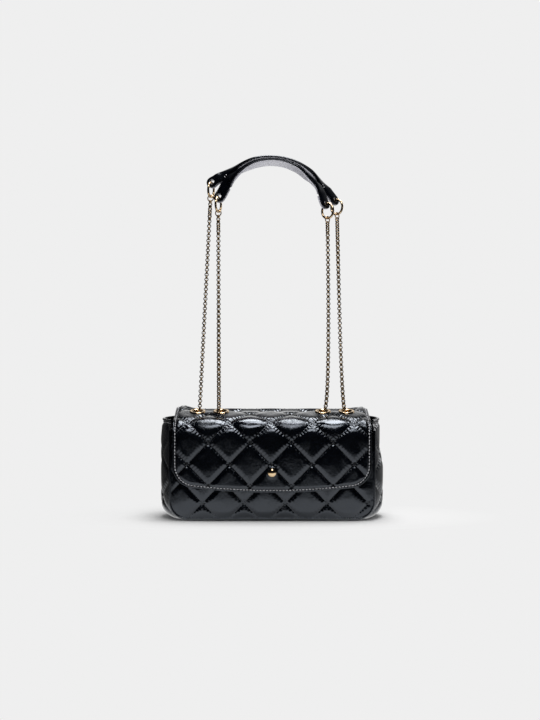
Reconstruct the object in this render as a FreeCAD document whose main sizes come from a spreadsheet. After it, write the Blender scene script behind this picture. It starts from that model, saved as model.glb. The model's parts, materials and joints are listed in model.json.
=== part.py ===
"""Quilted shoulder bag with a turn-over flap, a chain strap and a leather shoulder handle.

Frame: +Z up, the front of the bag faces -Y, +X is the viewer's right.
Origin: the middle of the flat underside that the bag stands on. Lengths are in millimetres.
"""
import FreeCAD, Part
import math
import os
import operator
from types import SimpleNamespace

import Sketcher
from FreeCAD import Matrix, Placement, Rotation, Vector

# Driving dimensions: lengths in millimetres, angles in degrees
SIZES = {
    # Body of the bag
    "panel_width": 223.0,        # front and back panels, side to side
    "panel_base": 3.4,           # lower edge of the panels above the floor
    "panel_corner": 18.0,        # rounding of the panels' lower corners
    "front_height": 101.0,       # top of the front panel above the floor
    "body_depth": 72.0,          # front face to back face
    "leather": 1.4,              # outer leather
    "panel_padding": 3.6,        # foam behind the quilted panels
    "gusset_edge_width": 225.0,  # gusset where it meets the panels
    "gusset_mid_width": 250.0,   # gusset at half depth, where it swells
    "gusset_height": 111.0,      # rim of the gusset above the floor
    "gusset_thickness": 2.6,     # quilted leather of the gusset
    "gusset_corner": 19.0,       # rounding of the gusset's lower corners
    "piping_radius": 1.5,        # cord sewn into the panel seams
    "piping_seat": 0.2,          # piping to panel edge
    "lining_thickness": 0.8,     # inner bag
    "lining_top": 88.0,          # upper edge of the inner bag
    "facing_thickness": 1.2,     # leather band round the mouth
    "facing_front_top": 100.0,   # upper edge of that band at the front and the sides
    "facing_back_depth": 12.0,   # depth of the raised back part of that band
    "board_length": 176.0,       # stiffener in the base
    "board_width": 54.0,
    "board_thickness": 1.6,
    "pocket_width": 110.0,       # flat slip pocket on the back of the lining
    "pocket_height": 50.0,
    "pocket_base": 30.0,
    "pocket_thickness": 0.7,
    # Quilting: diamonds of padded leather between stitch lines
    "quilt_width": 45.6,         # a diamond, side to side
    "quilt_height": 47.2,        # a diamond, top to bottom
    "quilt_press": 2.2,          # stitch lines below the middle of the diamonds
    "quilt_slope": 11.0,         # width of the slope beside a stitch line
    "flap_quilt_left": 1.5,      # a crossing of stitch lines on the flap, left of the middle
    "flap_quilt_up": 63.1,       # and above the floor
    "front_quilt_right": 14.7,   # a crossing on the front panel
    "front_quilt_up": 20.0,
    "back_quilt_up": 31.5,       # a crossing in the middle of the back panel
    "seat_margin": 0.6,          # flat leather round what is set in it
    # Flap
    "flap_width": 216.8,
    "flap_padding": 2.6,         # foam in the flap
    "flap_lining": 0.8,
    "hinge_height": 110.0,       # fold line of the flap above the floor
    "hinge_drop": 4.5,           # fold line down to the top of the back panel
    "back_roll": 14.0,           # outer radius where the flap turns over the back
    "front_roll": 13.0,          # outer radius where the flap turns down the front
    "top_slope": 12.0,           # fall of the flap's top towards the front
    "flap_base": 32.2,           # lowest point of the flap above the floor
    "flap_sag": 5.0,             # rise of the lower edge from the middle to the corners
    "flap_corner": 24.0,         # rounding of the flap's lower corners
    # Closing and decoration
    "snap_radius": 6.5,          # slim magnetic snap
    "snap_depth": 1.8,
    "snap_height": 43.0,
    "snap_washer": 0.6,
    "hole_fit": 0.1,             # hole to what sits in it
    "stud_radius": 4.5,          # plain domed stud on the flap
    "stud_dome": 2.2,
    "stud_height": 54.0,
    "stud_shank_radius": 1.2,
    "stud_shank_past": 0.7,      # shank beyond the leather
    "stud_cap_radius": 3.2,
    "stud_cap_thickness": 0.6,
    # Eyelets
    "eyelet_outer_place": 83.5,  # middle of the bag to the outer eyelets
    "eyelet_inner_place": 57.0,  # middle of the bag to the inner eyelets
    "eyelet_forward": 5.0,       # eyelets in front of the middle of the bag
    "eyelet_bore": 5.2,          # radius of the hole
    "eyelet_wall": 0.7,
    "eyelet_flange": 9.5,        # radius of the visible ring
    "eyelet_dome": 1.5,          # its height above the leather
    "eyelet_lip": 0.5,           # height of its outer edge
    "eyelet_rim": 7.4,           # radius of the rolled end below
    "eyelet_rim_height": 0.9,
    "washer_radius": 9.0,
    "washer_thickness": 0.6,
    # Chain
    "link_radius": 1.9,          # middle of a link to the middle of its wire
    "link_wire": 0.46,           # radius of the wire
    "link_gap": 0.14,            # play between neighbouring links
    "pivot_rise": 1.4,           # where the chain hinges, above the eyelet's ring
    "under_bend": 5.6,           # bend of the chain below the flap
    "bend_height": 22.0,         # bend of the right chains above the eyelets
    "inner_bend": 5.5,           # how far the right inner chain swings out there
    "outer_bend": 4.0,           # how far the right outer chain swings in there
    "jump_radius": 3.3,          # small ring at the top of each chain
    "jump_wire": 0.62,
    "ring_radius": 8.2,          # large ring in each ear of the handle
    "ring_wire": 1.25,
    # Handle
    "handle_radius": 69.0,       # arch of the shoulder handle
    "handle_height": 333.0,      # centre of that arch above the floor
    "handle_shift": 2.0,         # centre of that arch to the left of the middle
    "handle_tilt": 6.0,          # right end lower than the left
    "handle_half_angle": 56.0,
    "handle_width": 24.0,        # strap at its middle
    "handle_thickness": 7.0,
    "left_twist": 66.0,          # turn of the strap's face towards the front at its ends
    "right_twist": 41.0,
    "ear_thickness": 3.2,        # rounded ears that hold the rings
    "ear_radius": 6.5,
    "ear_spacing": 19.0,
    "ear_reach": 13.0,           # end of the arch to the holes
    "ear_root": 5.0,             # ear inside the strap
    "ear_hole": 3.0,
    "ear_play": 0.6,             # ring to the edge of its hole
    "left_skew": 4.0,            # left front ear reaches further than the rear one
    "handle_lining": 0.9,        # smooth strip under the strap
    "handle_lining_inset": 2.0,
    "handle_lining_gap": 0.35,
    # Shared
    "clearance": 0.3,            # soft pieces to each other
    "overrun": 1.0,              # cuts past the faces that they open
}
ROUND_SHARE = 0.45               # rounding of the strap's edges, as a share of its thickness
LINING_SPAN_SHARE = 0.9          # part of the arch that the strip under the strap covers
HANDLE_SECTIONS = 17

doc = FreeCAD.newDocument("shoulder_bag")
sheet = doc.addObject("Spreadsheet::Sheet", "sizes")
for row, (alias, number) in enumerate(SIZES.items(), start=1):
    cell = "A%d" % row
    sheet.set(cell, str(number))
    sheet.setAlias(cell, alias)
doc.recompute()

OPERATIONS = {"+": operator.add, "-": operator.sub, "*": operator.mul, "/": operator.truediv}


class Size:
    """A number together with the sheet expression that gives it."""

    def __init__(self, value, text):
        self.value = value
        self.text = text

    def __add__(self, other):
        return combine(self, "+", other)

    def __radd__(self, other):
        return combine(other, "+", self)

    def __sub__(self, other):
        return combine(self, "-", other)

    def __rsub__(self, other):
        return combine(other, "-", self)

    def __mul__(self, other):
        return combine(self, "*", other)

    def __rmul__(self, other):
        return combine(other, "*", self)

    def __truediv__(self, other):
        return combine(self, "/", other)

    def __neg__(self):
        return combine(-1, "*", self)


def as_size(number):
    """Give a plain number the form of a Size."""
    if isinstance(number, Size):
        return number
    return Size(float(number), repr(float(number)))


def combine(left, sign, right):
    """Join two sizes by one sign, in value and in text."""
    left = as_size(left)
    right = as_size(right)
    value = OPERATIONS[sign](left.value, right.value)
    return Size(value, "(%s %s %s)" % (left.text, sign, right.text))


def sine(angle):
    return Size(math.sin(math.radians(angle.value)), "sin(%s * 1 deg)" % angle.text)


def cosine(angle):
    return Size(math.cos(math.radians(angle.value)), "cos(%s * 1 deg)" % angle.text)


size = SimpleNamespace(**{alias: Size(float(sheet.get(alias)), "sizes." + alias) for alias in SIZES})
subparts = {}


def keep(name, thing):
    """Name a finished sub-part."""
    thing.Label = name
    subparts[name] = thing
    return thing


def bind(thing, path, amount):
    """Tie one property to the sheet."""
    thing.setExpression(path, as_size(amount).text)


def bind_base(thing, x, y, z):
    """Tie the place of a thing to the sheet."""
    for axis, amount in zip("xyz", (x, y, z)):
        bind(thing, "Placement.Base." + axis, amount)


# Sketches
def arc_through(start, end, radius, turn):
    """Circle arc between two points; turn is +1 to bend left on the way and -1 to bend right."""
    middle = (start + end) * 0.5
    chord = end - start
    left = Vector(-chord.y, chord.x, 0).normalize()
    height = math.sqrt(max(radius ** 2 - (chord.Length / 2) ** 2, 0))
    centre = middle + left * height * turn
    first, last = (start, end) if turn > 0 else (end, start)
    angles = [math.atan2(p.y - centre.y, p.x - centre.x) for p in (first, last)]
    circle = Part.Circle(centre, Vector(0, 0, 1), radius)
    return Part.ArcOfCircle(circle, angles[0], angles[1])


def draw(sketch, path, closed=True):
    """Draw an outline: each point is (x, y), reached straight, or (x, y, radius, turn), by an arc."""
    corners = [(as_size(p[0]), as_size(p[1])) for p in path]
    places = [Vector(x.value, y.value, 0) for x, y in corners]
    ends = []
    bound = []
    constraints = []
    for index in range(0 if closed else 1, len(path)):
        start, end = places[index - 1], places[index]
        if len(path[index]) == 2:
            number = sketch.addGeometry(Part.LineSegment(start, end), False)
            ends.append((number, 1, 2))
            continue
        radius, turn = as_size(path[index][2]), path[index][3]
        number = sketch.addGeometry(arc_through(start, end, radius.value, turn), False)
        ends.append((number, 1, 2) if turn > 0 else (number, 2, 1))
        bound.append((len(constraints), radius))
        constraints.append(Sketcher.Constraint("Radius", number, radius.value))
    steps = zip(ends, ends[1:] + ends[:1]) if closed else zip(ends, ends[1:])
    for before, after in steps:
        constraints.append(Sketcher.Constraint("Coincident", before[0], before[2], after[0], after[1]))
    if closed:
        anchors = [(ends[i][0], ends[i][2]) for i in range(len(path))]
    else:
        anchors = [(ends[0][0], ends[0][1])] + [(number, last) for number, _, last in ends]
    for (x, y), (number, place) in zip(corners, anchors):
        for kind, amount in (("DistanceX", x), ("DistanceY", y)):
            bound.append((len(constraints), amount))
            constraints.append(Sketcher.Constraint(kind, -1, 1, number, place, amount.value))
    sketch.addConstraint(constraints)
    for index, amount in bound:
        bind(sketch, "Constraints[%d]" % index, amount)
    return sketch


def body_sketch(body, name, plane, offset, path):
    """Sketch on one of a body's origin planes, moved along the plane's normal."""
    sketch = body.newObject("Sketcher::SketchObject", name)
    support = [f for f in body.Origin.OriginFeatures if f.Role == plane][0]
    sketch.AttachmentSupport = (support, [""])
    sketch.MapMode = "FlatFace"
    bind(sketch, "AttachmentOffset.Base.z", offset)
    return draw(sketch, path)


def upright_sketch(name, y, path, closed=True):
    """Free sketch in an upright plane that faces the front."""
    sketch = doc.addObject("Sketcher::SketchObject", name)
    sketch.Placement = Placement(Vector(), Rotation(Vector(1, 0, 0), 90))
    bind(sketch, "Placement.Base.y", y)
    return draw(sketch, path, closed)


# Simple solids
def plate(name, path, back, thickness):
    """Upright plate whose rear face is at y = back."""
    body = doc.addObject("PartDesign::Body", name)
    sketch = body_sketch(body, name + "_outline", "XZ_Plane", -as_size(back), path)
    pad = body.newObject("PartDesign::Pad", name + "_pad")
    pad.Profile = sketch
    bind(pad, "Length", thickness)
    sketch.Visibility = False
    return body


def turned(name, path, place, turn_about_x):
    """Round piece, drawn as a half section (radius, height) and turned round its own axis."""
    body = doc.addObject("PartDesign::Body", name)
    sketch = body_sketch(body, name + "_section", "XZ_Plane", 0, path)
    turning = body.newObject("PartDesign::Revolution", name + "_turning")
    turning.Profile = sketch
    turning.ReferenceAxis = (sketch, ["V_Axis"])
    turning.Angle = 360
    body.Placement = Placement(Vector(), Rotation(Vector(1, 0, 0), as_size(turn_about_x).value))
    bind_base(body, *place)
    bind(body, "Placement.Rotation.Angle", turn_about_x)
    return body


def block(name, corner, length, width, height):
    """Box from its lowest corner."""
    box = doc.addObject("Part::Box", name)
    bind(box, "Length", length)
    bind(box, "Width", width)
    bind(box, "Height", height)
    bind_base(box, *corner)
    return box


def round_bar(name, radius, length, place, turn_about_x):
    """Cylinder that starts at a place and runs along +Z turned about X."""
    bar = doc.addObject("Part::Cylinder", name)
    bind(bar, "Radius", radius)
    bind(bar, "Height", length)
    bar.Placement = Placement(Vector(), Rotation(Vector(1, 0, 0), as_size(turn_about_x).value))
    bind_base(bar, *place)
    bind(bar, "Placement.Rotation.Angle", turn_about_x)
    return bar


def cut(name, base, tools):
    """Take the tools away from a base."""
    if len(tools) > 1:
        group = doc.addObject("Part::Compound", name + "_tools")
        group.Links = tools
        tools = [group]
    result = doc.addObject("Part::Cut", name + "_cut")
    result.Base = base
    result.Tool = tools[0]
    return result


def loft(name, sections):
    """Solid skin through upright sections, given as (y, path)."""
    result = doc.addObject("Part::Loft", name)
    result.Sections = [upright_sketch("%s_%d" % (name, i), y, path) for i, (y, path) in enumerate(sections)]
    result.Solid = True
    result.Ruled = False
    return result


# Places that several pieces share
half_depth = size.body_depth / 2
panel_half = size.panel_width / 2
panel_inside = half_depth - size.leather - size.panel_padding
lining_half_depth = panel_inside - size.clearance
flap_thickness = size.leather + size.flap_padding + size.flap_lining
flap_front = half_depth + size.clearance + flap_thickness
flap_half = size.flap_width / 2
back_top = size.hinge_height - size.hinge_drop
slope_sine = sine(size.top_slope)
slope_cosine = cosine(size.top_slope)
back_roll_y = half_depth - size.back_roll
front_roll_y = size.front_roll - flap_front
front_roll_z = (size.hinge_height
                + (size.back_roll - size.front_roll - (back_roll_y - front_roll_y) * slope_sine) / slope_cosine)
FORWARD = 90


def rounded_foot(half_width, base, top, corner):
    """Closed outline with rounded lower corners."""
    return [
        (-half_width, top),
        (-half_width, base + corner),
        (-half_width + corner, base, corner, 1),
        (half_width - corner, base),
        (half_width, base + corner, corner, 1),
        (half_width, top),
    ]


# Quilting
def flat_face(middle, up, out, half, low, high, crossing):
    """A face to be quilted: its lower middle and directions, half its width, its reach and one crossing."""
    return SimpleNamespace(middle=middle, up=up, out=out, half=number_of(half), low=number_of(low),
                           high=number_of(high), crossing=[number_of(amount) for amount in crossing])


def stitch_lines(face):
    """Starts and ends of the stitch lines that cross a face, both ways."""
    wide, tall = size.quilt_width.value, size.quilt_height.value
    sideways = Vector(1, 0, 0)
    lines = []
    for slope in (wide / tall, -wide / tall):
        count = math.ceil((face.half + (face.high - face.low) * wide / tall) / wide) + 1
        for index in range(-count, count + 1):
            x = face.crossing[0] + index * wide
            edges = sorted(face.crossing[1] + (side * face.half - x) / slope for side in (-1, 1))
            low, high = max(face.low, edges[0]), min(face.high, edges[1])
            if high > low:
                lines.append([face.middle + face.up * up + sideways * (x + slope * (up - face.crossing[1]))
                              for up in (low, high)])
    return lines


def wedge(start, end, out):
    """Three-sided bar that presses one stitch line into a face."""
    press, lift = size.quilt_press.value, size.overrun.value
    side = unit((end - start).cross(out)) * (size.quilt_slope.value * (press + lift) / press)
    corners = [start - out * press, start + side + out * lift, start - side + out * lift]
    return Part.Face(Part.makePolygon(corners + corners[:1])).extrude(end - start)


def pressed_lines(name, faces, seats, inset):
    """Everything that the stitch lines press in, moved inwards by an inset and clear of the seats."""
    bars = []
    for face in faces:
        inwards = face.out * -number_of(inset)
        bars += [wedge(start + inwards, end + inwards, face.out) for start, end in stitch_lines(face)]
    shape = bars[0].fuse(bars[1:])
    if seats:
        shape = shape.cut(seats)
    lines = doc.addObject("Part::Feature", name)
    lines.Shape = shape
    return lines


def seat(place, out, radius):
    """Round place where the leather stays flat for what is set in it."""
    reach = flap_thickness.value * 2
    return Part.makeCylinder(number_of(radius + size.seat_margin), reach * 2, place - out * reach, out)


def quilt(leather_name, leather, padding_name, padding, outer_faces, inner_faces, seats):
    """Press the leather into the padding along the stitch lines."""
    shallow = pressed_lines(leather_name + "_lines", outer_faces, seats, 0)
    deep = pressed_lines(padding_name + "_lines", inner_faces, seats, size.leather)
    dents = doc.addObject("Part::Common", padding_name + "_dents")
    dents.Base = padding
    dents.Tool = deep
    sunk = doc.addObject("Part::Fuse", leather_name + "_sunk")
    sunk.Base = leather
    sunk.Tool = dents
    quilted = doc.addObject("Part::Cut", leather_name + "_quilted")
    quilted.Base = sunk
    quilted.Tool = shallow
    quilted.Refine = True
    filling = doc.addObject("Part::Cut", padding_name + "_quilted")
    filling.Base = padding
    filling.Tool = deep
    keep(leather_name, quilted)
    keep(padding_name, filling)


def panel_face(out, top, crossing):
    """Face of a panel, quilted past its edges."""
    return flat_face(out * half_depth.value, Vector(0, 0, 1), out, panel_half + size.quilt_slope,
                     size.panel_base - size.quilt_slope, top + size.quilt_slope, crossing)


def roll_fade(radius):
    """How far a stitch line runs on past a face before the roll turns away from it."""
    inside = radius - size.quilt_press
    return math.sqrt(number_of(radius * radius - inside * inside))


def flap_faces(depth):
    """The flap's upright front and its top, with the stitch lines running on from one to the other."""
    left = -size.flap_quilt_left
    front = flat_face(Vector(0, -flap_front.value, 0), Vector(0, 0, 1), Vector(0, -1, 0),
                      flap_half + size.quilt_slope, size.flap_base - size.quilt_slope,
                      front_roll_z + roll_fade(size.front_roll - depth), (left, size.flap_quilt_up))
    start_y, start_z = on_front_roll(as_size(0))
    end_y, end_z = on_back_roll(as_size(0))
    start, end = vector_of((0, start_y, start_z)), vector_of((0, end_y, end_z))
    turn = math.radians(FORWARD - size.top_slope.value)
    round_roll = number_of(size.front_roll - size.quilt_press) * turn
    top = flat_face(start, unit(end - start), AXLE, flap_half + size.quilt_slope,
                    -roll_fade(size.front_roll - depth), (end - start).Length + roll_fade(size.back_roll - depth),
                    (left, size.flap_quilt_up - front_roll_z - round_roll))
    return [front, top]


# Body
def make_panels():
    """Front and back panels: quilted leather over foam, with the socket of the snap in the front."""
    front = rounded_foot(panel_half, size.panel_base, size.front_height, size.panel_corner)
    back = rounded_foot(panel_half, size.panel_base, back_top, size.panel_corner)
    hole = size.snap_radius + size.hole_fit
    washer_face = size.snap_depth - half_depth
    washer_end = washer_face + size.snap_washer
    leather = plate("front_leather_sheet", front, size.leather - half_depth, size.leather)
    foam = plate("front_foam_sheet", front, -panel_inside, size.panel_padding)
    deep = round_bar("socket_seat", hole, size.snap_depth + size.snap_washer + size.overrun,
                     (0, washer_end, size.snap_height), FORWARD)
    face = [panel_face(Vector(0, -1, 0), size.front_height, (size.front_quilt_right, size.front_quilt_up))]
    socket = seat(vector_of((0, -half_depth, size.snap_height)), Vector(0, -1, 0), size.snap_radius)
    quilt("front_panel", cut("front_panel", leather, [deep]), "front_padding", cut("front_padding", foam, [deep]),
          face, face, [socket])
    face = [panel_face(Vector(0, 1, 0), back_top, (0, size.back_quilt_up))]
    quilt("back_panel", plate("back_leather", back, half_depth, size.leather),
          "back_padding", plate("back_foam", back, half_depth - size.leather, size.panel_padding), face, face, [])
    keep("snap_socket", round_bar("socket", size.snap_radius, size.snap_depth,
                                  (0, washer_face, size.snap_height), FORWARD))
    keep("snap_socket_washer", round_bar("socket_washer", size.snap_radius, size.snap_washer,
                                         (0, washer_end, size.snap_height), FORWARD))


def make_piping():
    """Cord along each panel's edge."""
    reach = size.piping_radius + size.piping_seat
    for side, middle, top in (("front", -(half_depth + panel_inside) / 2, size.front_height),
                              ("back", (half_depth + panel_inside) / 2, back_top)):
        half = panel_half + reach
        route = rounded_foot(half, size.panel_base - reach, top, size.panel_corner + reach)
        spine = upright_sketch(side + "_piping_route", middle, route, closed=False)
        section = doc.addObject("Sketcher::SketchObject", side + "_piping_section")
        bind(section, "Placement.Base.z", top)
        circle = section.addGeometry(Part.Circle(Vector(), Vector(0, 0, 1), size.piping_radius.value), False)
        section.addConstraint([
            Sketcher.Constraint("Radius", circle, size.piping_radius.value),
            Sketcher.Constraint("DistanceX", -1, 1, circle, 3, -half.value),
            Sketcher.Constraint("DistanceY", -1, 1, circle, 3, middle.value),
        ])
        bind(section, "Constraints[0]", size.piping_radius)
        bind(section, "Constraints[1]", -half)
        bind(section, "Constraints[2]", middle)
        cord = doc.addObject("Part::Sweep", side + "_piping_cord")
        cord.Sections = [section]
        cord.Spine = (spine, ["Edge%d" % (i + 1) for i in range(len(route) - 1)])
        cord.Solid = True
        keep(side + "_piping", cord)


def gusset_section(half_width):
    """Section of the gusset: one strip down a side, under the bag and up the other side."""
    wall = size.gusset_thickness
    corner = size.gusset_corner
    sunk = -size.overrun
    top = size.gusset_height
    return [
        (-half_width, top),
        (-half_width, sunk + corner),
        (-half_width + corner, sunk, corner, 1),
        (half_width - corner, sunk),
        (half_width, sunk + corner, corner, 1),
        (half_width, top),
        (half_width - wall, top),
        (half_width - wall, corner),
        (half_width - corner, wall, corner - wall, -1),
        (-half_width + corner, wall),
        (-half_width + wall, corner, corner - wall, -1),
        (-half_width + wall, top),
    ]


def make_gusset():
    """Side and base strip, swelling at half depth and cut flat where the bag stands."""
    edge = gusset_section(size.gusset_edge_width / 2)
    middle = gusset_section(size.gusset_mid_width / 2)
    strip = loft("gusset_strip", [(-panel_inside, edge), (0, middle), (panel_inside, edge)])
    below = block("floor_cut", (-size.gusset_mid_width, -size.body_depth, -size.overrun * 2),
                  size.gusset_mid_width * 2, size.body_depth * 2, size.overrun * 2)
    keep("gusset", cut("gusset", strip, [below]))


def make_base_board():
    """Stiffener that lies on the gusset under the lining."""
    keep("base_board", block("board", (-size.board_length / 2, -size.board_width / 2, size.gusset_thickness),
                             size.board_length, size.board_width, size.board_thickness))


def inner_half(base_width, inset):
    """Half width inside the gusset, drawn in by an inset."""
    return base_width / 2 - size.gusset_thickness - size.clearance - inset


def inner_loft(name, outline, inset, end):
    """Solid that follows the inside of the gusset; outline gives the section for a half width."""
    edge = outline(inner_half(size.gusset_edge_width, inset))
    middle = outline(inner_half(size.gusset_mid_width, inset))
    return loft(name, [(-end, edge), (0, middle), (end, edge)])


def make_lining():
    """Inner bag, open at the top."""
    base = size.gusset_thickness + size.board_thickness + size.clearance
    corner = size.gusset_corner - size.gusset_thickness - size.clearance
    wall = size.lining_thickness

    def outside(half):
        return rounded_foot(half, base, size.lining_top, corner)

    def inside(half):
        return rounded_foot(half, base + wall, size.lining_top + size.overrun, corner - wall)

    shell = inner_loft("lining_outside", outside, 0, lining_half_depth)
    space = inner_loft("lining_inside", inside, wall, lining_half_depth - wall)
    keep("lining", cut("lining", shell, [space]))


def make_mouth_facing():
    """Leather band round the mouth, higher at the back, where the flap folds."""
    wall = size.facing_thickness
    low = size.lining_top + size.clearance
    high = size.hinge_height

    def band(half, base, top):
        return [(-half, top), (-half, base), (half, base), (half, top)]

    ring = inner_loft("facing_outside", lambda half: band(half, low, high), 0, lining_half_depth)
    space = inner_loft("facing_inside", lambda half: band(half, low - size.overrun, high + size.overrun),
                       wall, lining_half_depth - wall)
    lowered = block("facing_step", (-size.gusset_mid_width, -size.body_depth, size.facing_front_top),
                    size.gusset_mid_width * 2,
                    size.body_depth + lining_half_depth - size.facing_back_depth,
                    size.hinge_height)
    keep("mouth_facing", cut("mouth_facing", ring, [space, lowered]))


def make_inner_pocket():
    """Slip pocket that lies flat on the back of the lining."""
    face = lining_half_depth - size.lining_thickness - size.clearance - size.pocket_thickness
    keep("inner_pocket", block("pocket", (-size.pocket_width / 2, face, size.pocket_base),
                               size.pocket_width, size.pocket_thickness, size.pocket_height))


# Flap
def on_back_roll(depth):
    """End of the back roll at a depth below the flap's outer face."""
    radius = size.back_roll - depth
    return back_roll_y - radius * slope_sine, size.hinge_height + radius * slope_cosine


def on_front_roll(depth):
    """Start of the front roll at a depth below the flap's outer face."""
    radius = size.front_roll - depth
    return front_roll_y - radius * slope_sine, front_roll_z + radius * slope_cosine


def flap_run(outer, inner):
    """Section of one layer of the flap between two depths, from the fold over the top and back."""
    out_back, out_front = on_back_roll(outer), on_front_roll(outer)
    in_back, in_front = on_back_roll(inner), on_front_roll(inner)
    return [
        (half_depth - outer, size.hinge_height),
        (out_back[0], out_back[1], size.back_roll - outer, 1),
        out_front,
        (outer - flap_front, front_roll_z, size.front_roll - outer, 1),
        (outer - flap_front, size.flap_base),
        (inner - flap_front, size.flap_base),
        (inner - flap_front, front_roll_z),
        (in_front[0], in_front[1], size.front_roll - inner, -1),
        in_back,
        (half_depth - inner, size.hinge_height, size.back_roll - inner, -1),
    ]


def flap_bead():
    """Turned-under end of the flap's leather, round the fold line."""
    middle = half_depth - flap_thickness / 2
    outer = flap_thickness / 2
    inner = outer - size.leather
    fold = size.hinge_height
    return [
        (middle, fold - inner, inner, -1),
        (middle - inner, fold, inner, -1),
        (middle - outer, fold),
        (middle, fold - outer, outer, 1),
    ]


def hem_waste():
    """What is trimmed off below the flap's rounded lower edge."""
    rise = size.flap_base + size.flap_sag
    flat = flap_half - size.flap_corner
    sweep = (flat * flat + size.flap_sag * size.flap_sag) / (2 * size.flap_sag)
    side = flap_half + size.overrun
    below = size.flap_base - size.overrun
    return [
        (-side, rise + size.flap_corner),
        (-side, below),
        (side, below),
        (side, rise + size.flap_corner),
        (flap_half, rise + size.flap_corner),
        (flat, rise, size.flap_corner, -1),
        (-flat, rise, sweep, -1),
        (-flap_half, rise + size.flap_corner, size.flap_corner, -1),
    ]


def flap_layer(name, path, tools):
    """One layer of the flap: its section run across the bag, trimmed at the hem and pierced."""
    body = doc.addObject("PartDesign::Body", name + "_layer")
    section = body_sketch(body, name + "_section", "YZ_Plane", -flap_half, path)
    pad = body.newObject("PartDesign::Pad", name + "_pad")
    pad.Profile = section
    bind(pad, "Length", size.flap_width)
    doc.recompute()
    full = body.Shape.Volume
    waste = body_sketch(body, name + "_hem", "XZ_Plane", 0, hem_waste())
    pocket = body.newObject("PartDesign::Pocket", name + "_trim")
    pocket.Profile = waste
    pocket.Reversed = True
    bind(pocket, "Length", size.body_depth)
    doc.recompute()
    if body.Shape.Volume >= full:
        raise RuntimeError(name + ": the hem cut missed the flap")
    return cut(name, body, tools)


def eyelet_seat(x, height):
    """Point on an eyelet's axis, at a height above the flap's outer face."""
    back_y, back_z = on_back_roll(as_size(0))
    y = -size.eyelet_forward
    z = back_z + (y - back_y) * slope_sine / slope_cosine
    return x, y - height * slope_sine, z + height * slope_cosine


EYELETS = {
    "left_outer": -size.eyelet_outer_place,
    "left_inner": -size.eyelet_inner_place,
    "right_inner": size.eyelet_inner_place,
    "right_outer": size.eyelet_outer_place,
}


def make_flap():
    """Quilted leather, foam and lining, with the holes for the hardware."""
    barrel = size.eyelet_bore + size.eyelet_wall + size.hole_fit
    through = flap_thickness + size.overrun * 2
    eyelet_holes = [round_bar("eyelet_hole_" + name, barrel, through,
                              eyelet_seat(x, -(flap_thickness + size.overrun)), size.top_slope)
                    for name, x in EYELETS.items()]
    snap_hole = round_bar("snap_seat", size.snap_radius + size.hole_fit,
                          size.snap_depth + size.snap_washer + size.overrun,
                          (0, size.overrun - half_depth - size.clearance, size.snap_height), FORWARD)
    shank_hole = round_bar("shank_hole", size.stud_shank_radius + size.hole_fit,
                           size.leather + size.overrun * 2,
                           (0, size.leather + size.overrun - flap_front, size.stud_height), FORWARD)
    cap_seat = round_bar("cap_seat", size.stud_cap_radius + size.hole_fit,
                         size.stud_cap_thickness + size.stud_shank_past + size.overrun,
                         (0, size.leather + size.stud_cap_thickness + size.stud_shank_past - flap_front,
                          size.stud_height), FORWARD)
    first = size.leather
    second = size.leather + size.flap_padding
    outer_path = flap_run(as_size(0), first)
    leather = flap_layer("flap", outer_path + flap_bead(), eyelet_holes + [shank_hole])
    foam = flap_layer("flap_padding", flap_run(first, second), eyelet_holes + [snap_hole, cap_seat])
    forward = Vector(0, -1, 0)
    seats = [seat(vector_of(eyelet_seat(x, as_size(0))), AXLE, size.eyelet_flange) for x in EYELETS.values()]
    seats.append(seat(vector_of((0, -flap_front, size.stud_height)), forward, size.stud_radius))
    seats.append(seat(vector_of((0, -flap_front, size.snap_height)), forward, size.snap_radius))
    quilt("flap", leather, "flap_padding", foam, flap_faces(as_size(0)), flap_faces(first), seats)
    keep("flap_lining", flap_layer("flap_lining", flap_run(second, flap_thickness), eyelet_holes + [snap_hole]))


def make_snap_stud():
    """Flap half of the magnetic snap, flush with the flap's lining, and its washer."""
    face = -(half_depth + size.clearance)
    keep("snap_stud", round_bar("snap_disc", size.snap_radius, size.snap_depth,
                                (0, face, size.snap_height), FORWARD))
    keep("snap_stud_washer", round_bar("snap_disc_washer", size.snap_radius, size.snap_washer,
                                       (0, face - size.snap_depth, size.snap_height), FORWARD))


def make_front_stud():
    """Plain domed stud on the flap and the cap that holds it behind the leather."""
    sphere = ((size.stud_radius * size.stud_radius + size.stud_dome * size.stud_dome)
              / (2 * size.stud_dome))
    shank_end = -(size.leather + size.stud_cap_thickness + size.stud_shank_past / 2)
    stud = [
        (0, shank_end),
        (size.stud_shank_radius, shank_end),
        (size.stud_shank_radius, 0),
        (size.stud_radius, 0),
        (0, size.stud_dome, sphere, 1),
    ]
    place = (0, -flap_front, size.stud_height)
    keep("front_stud", turned("stud", stud, place, FORWARD))
    inner = size.stud_shank_radius + size.hole_fit
    cap = washer_section(inner, size.stud_cap_radius, -size.leather - size.stud_cap_thickness, -size.leather)
    keep("front_stud_cap", turned("stud_cap", cap, place, FORWARD))


def washer_section(inner, outer, low, high):
    """Half section of a flat ring."""
    return [(inner, low), (outer, low), (outer, high), (inner, high)]


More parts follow.
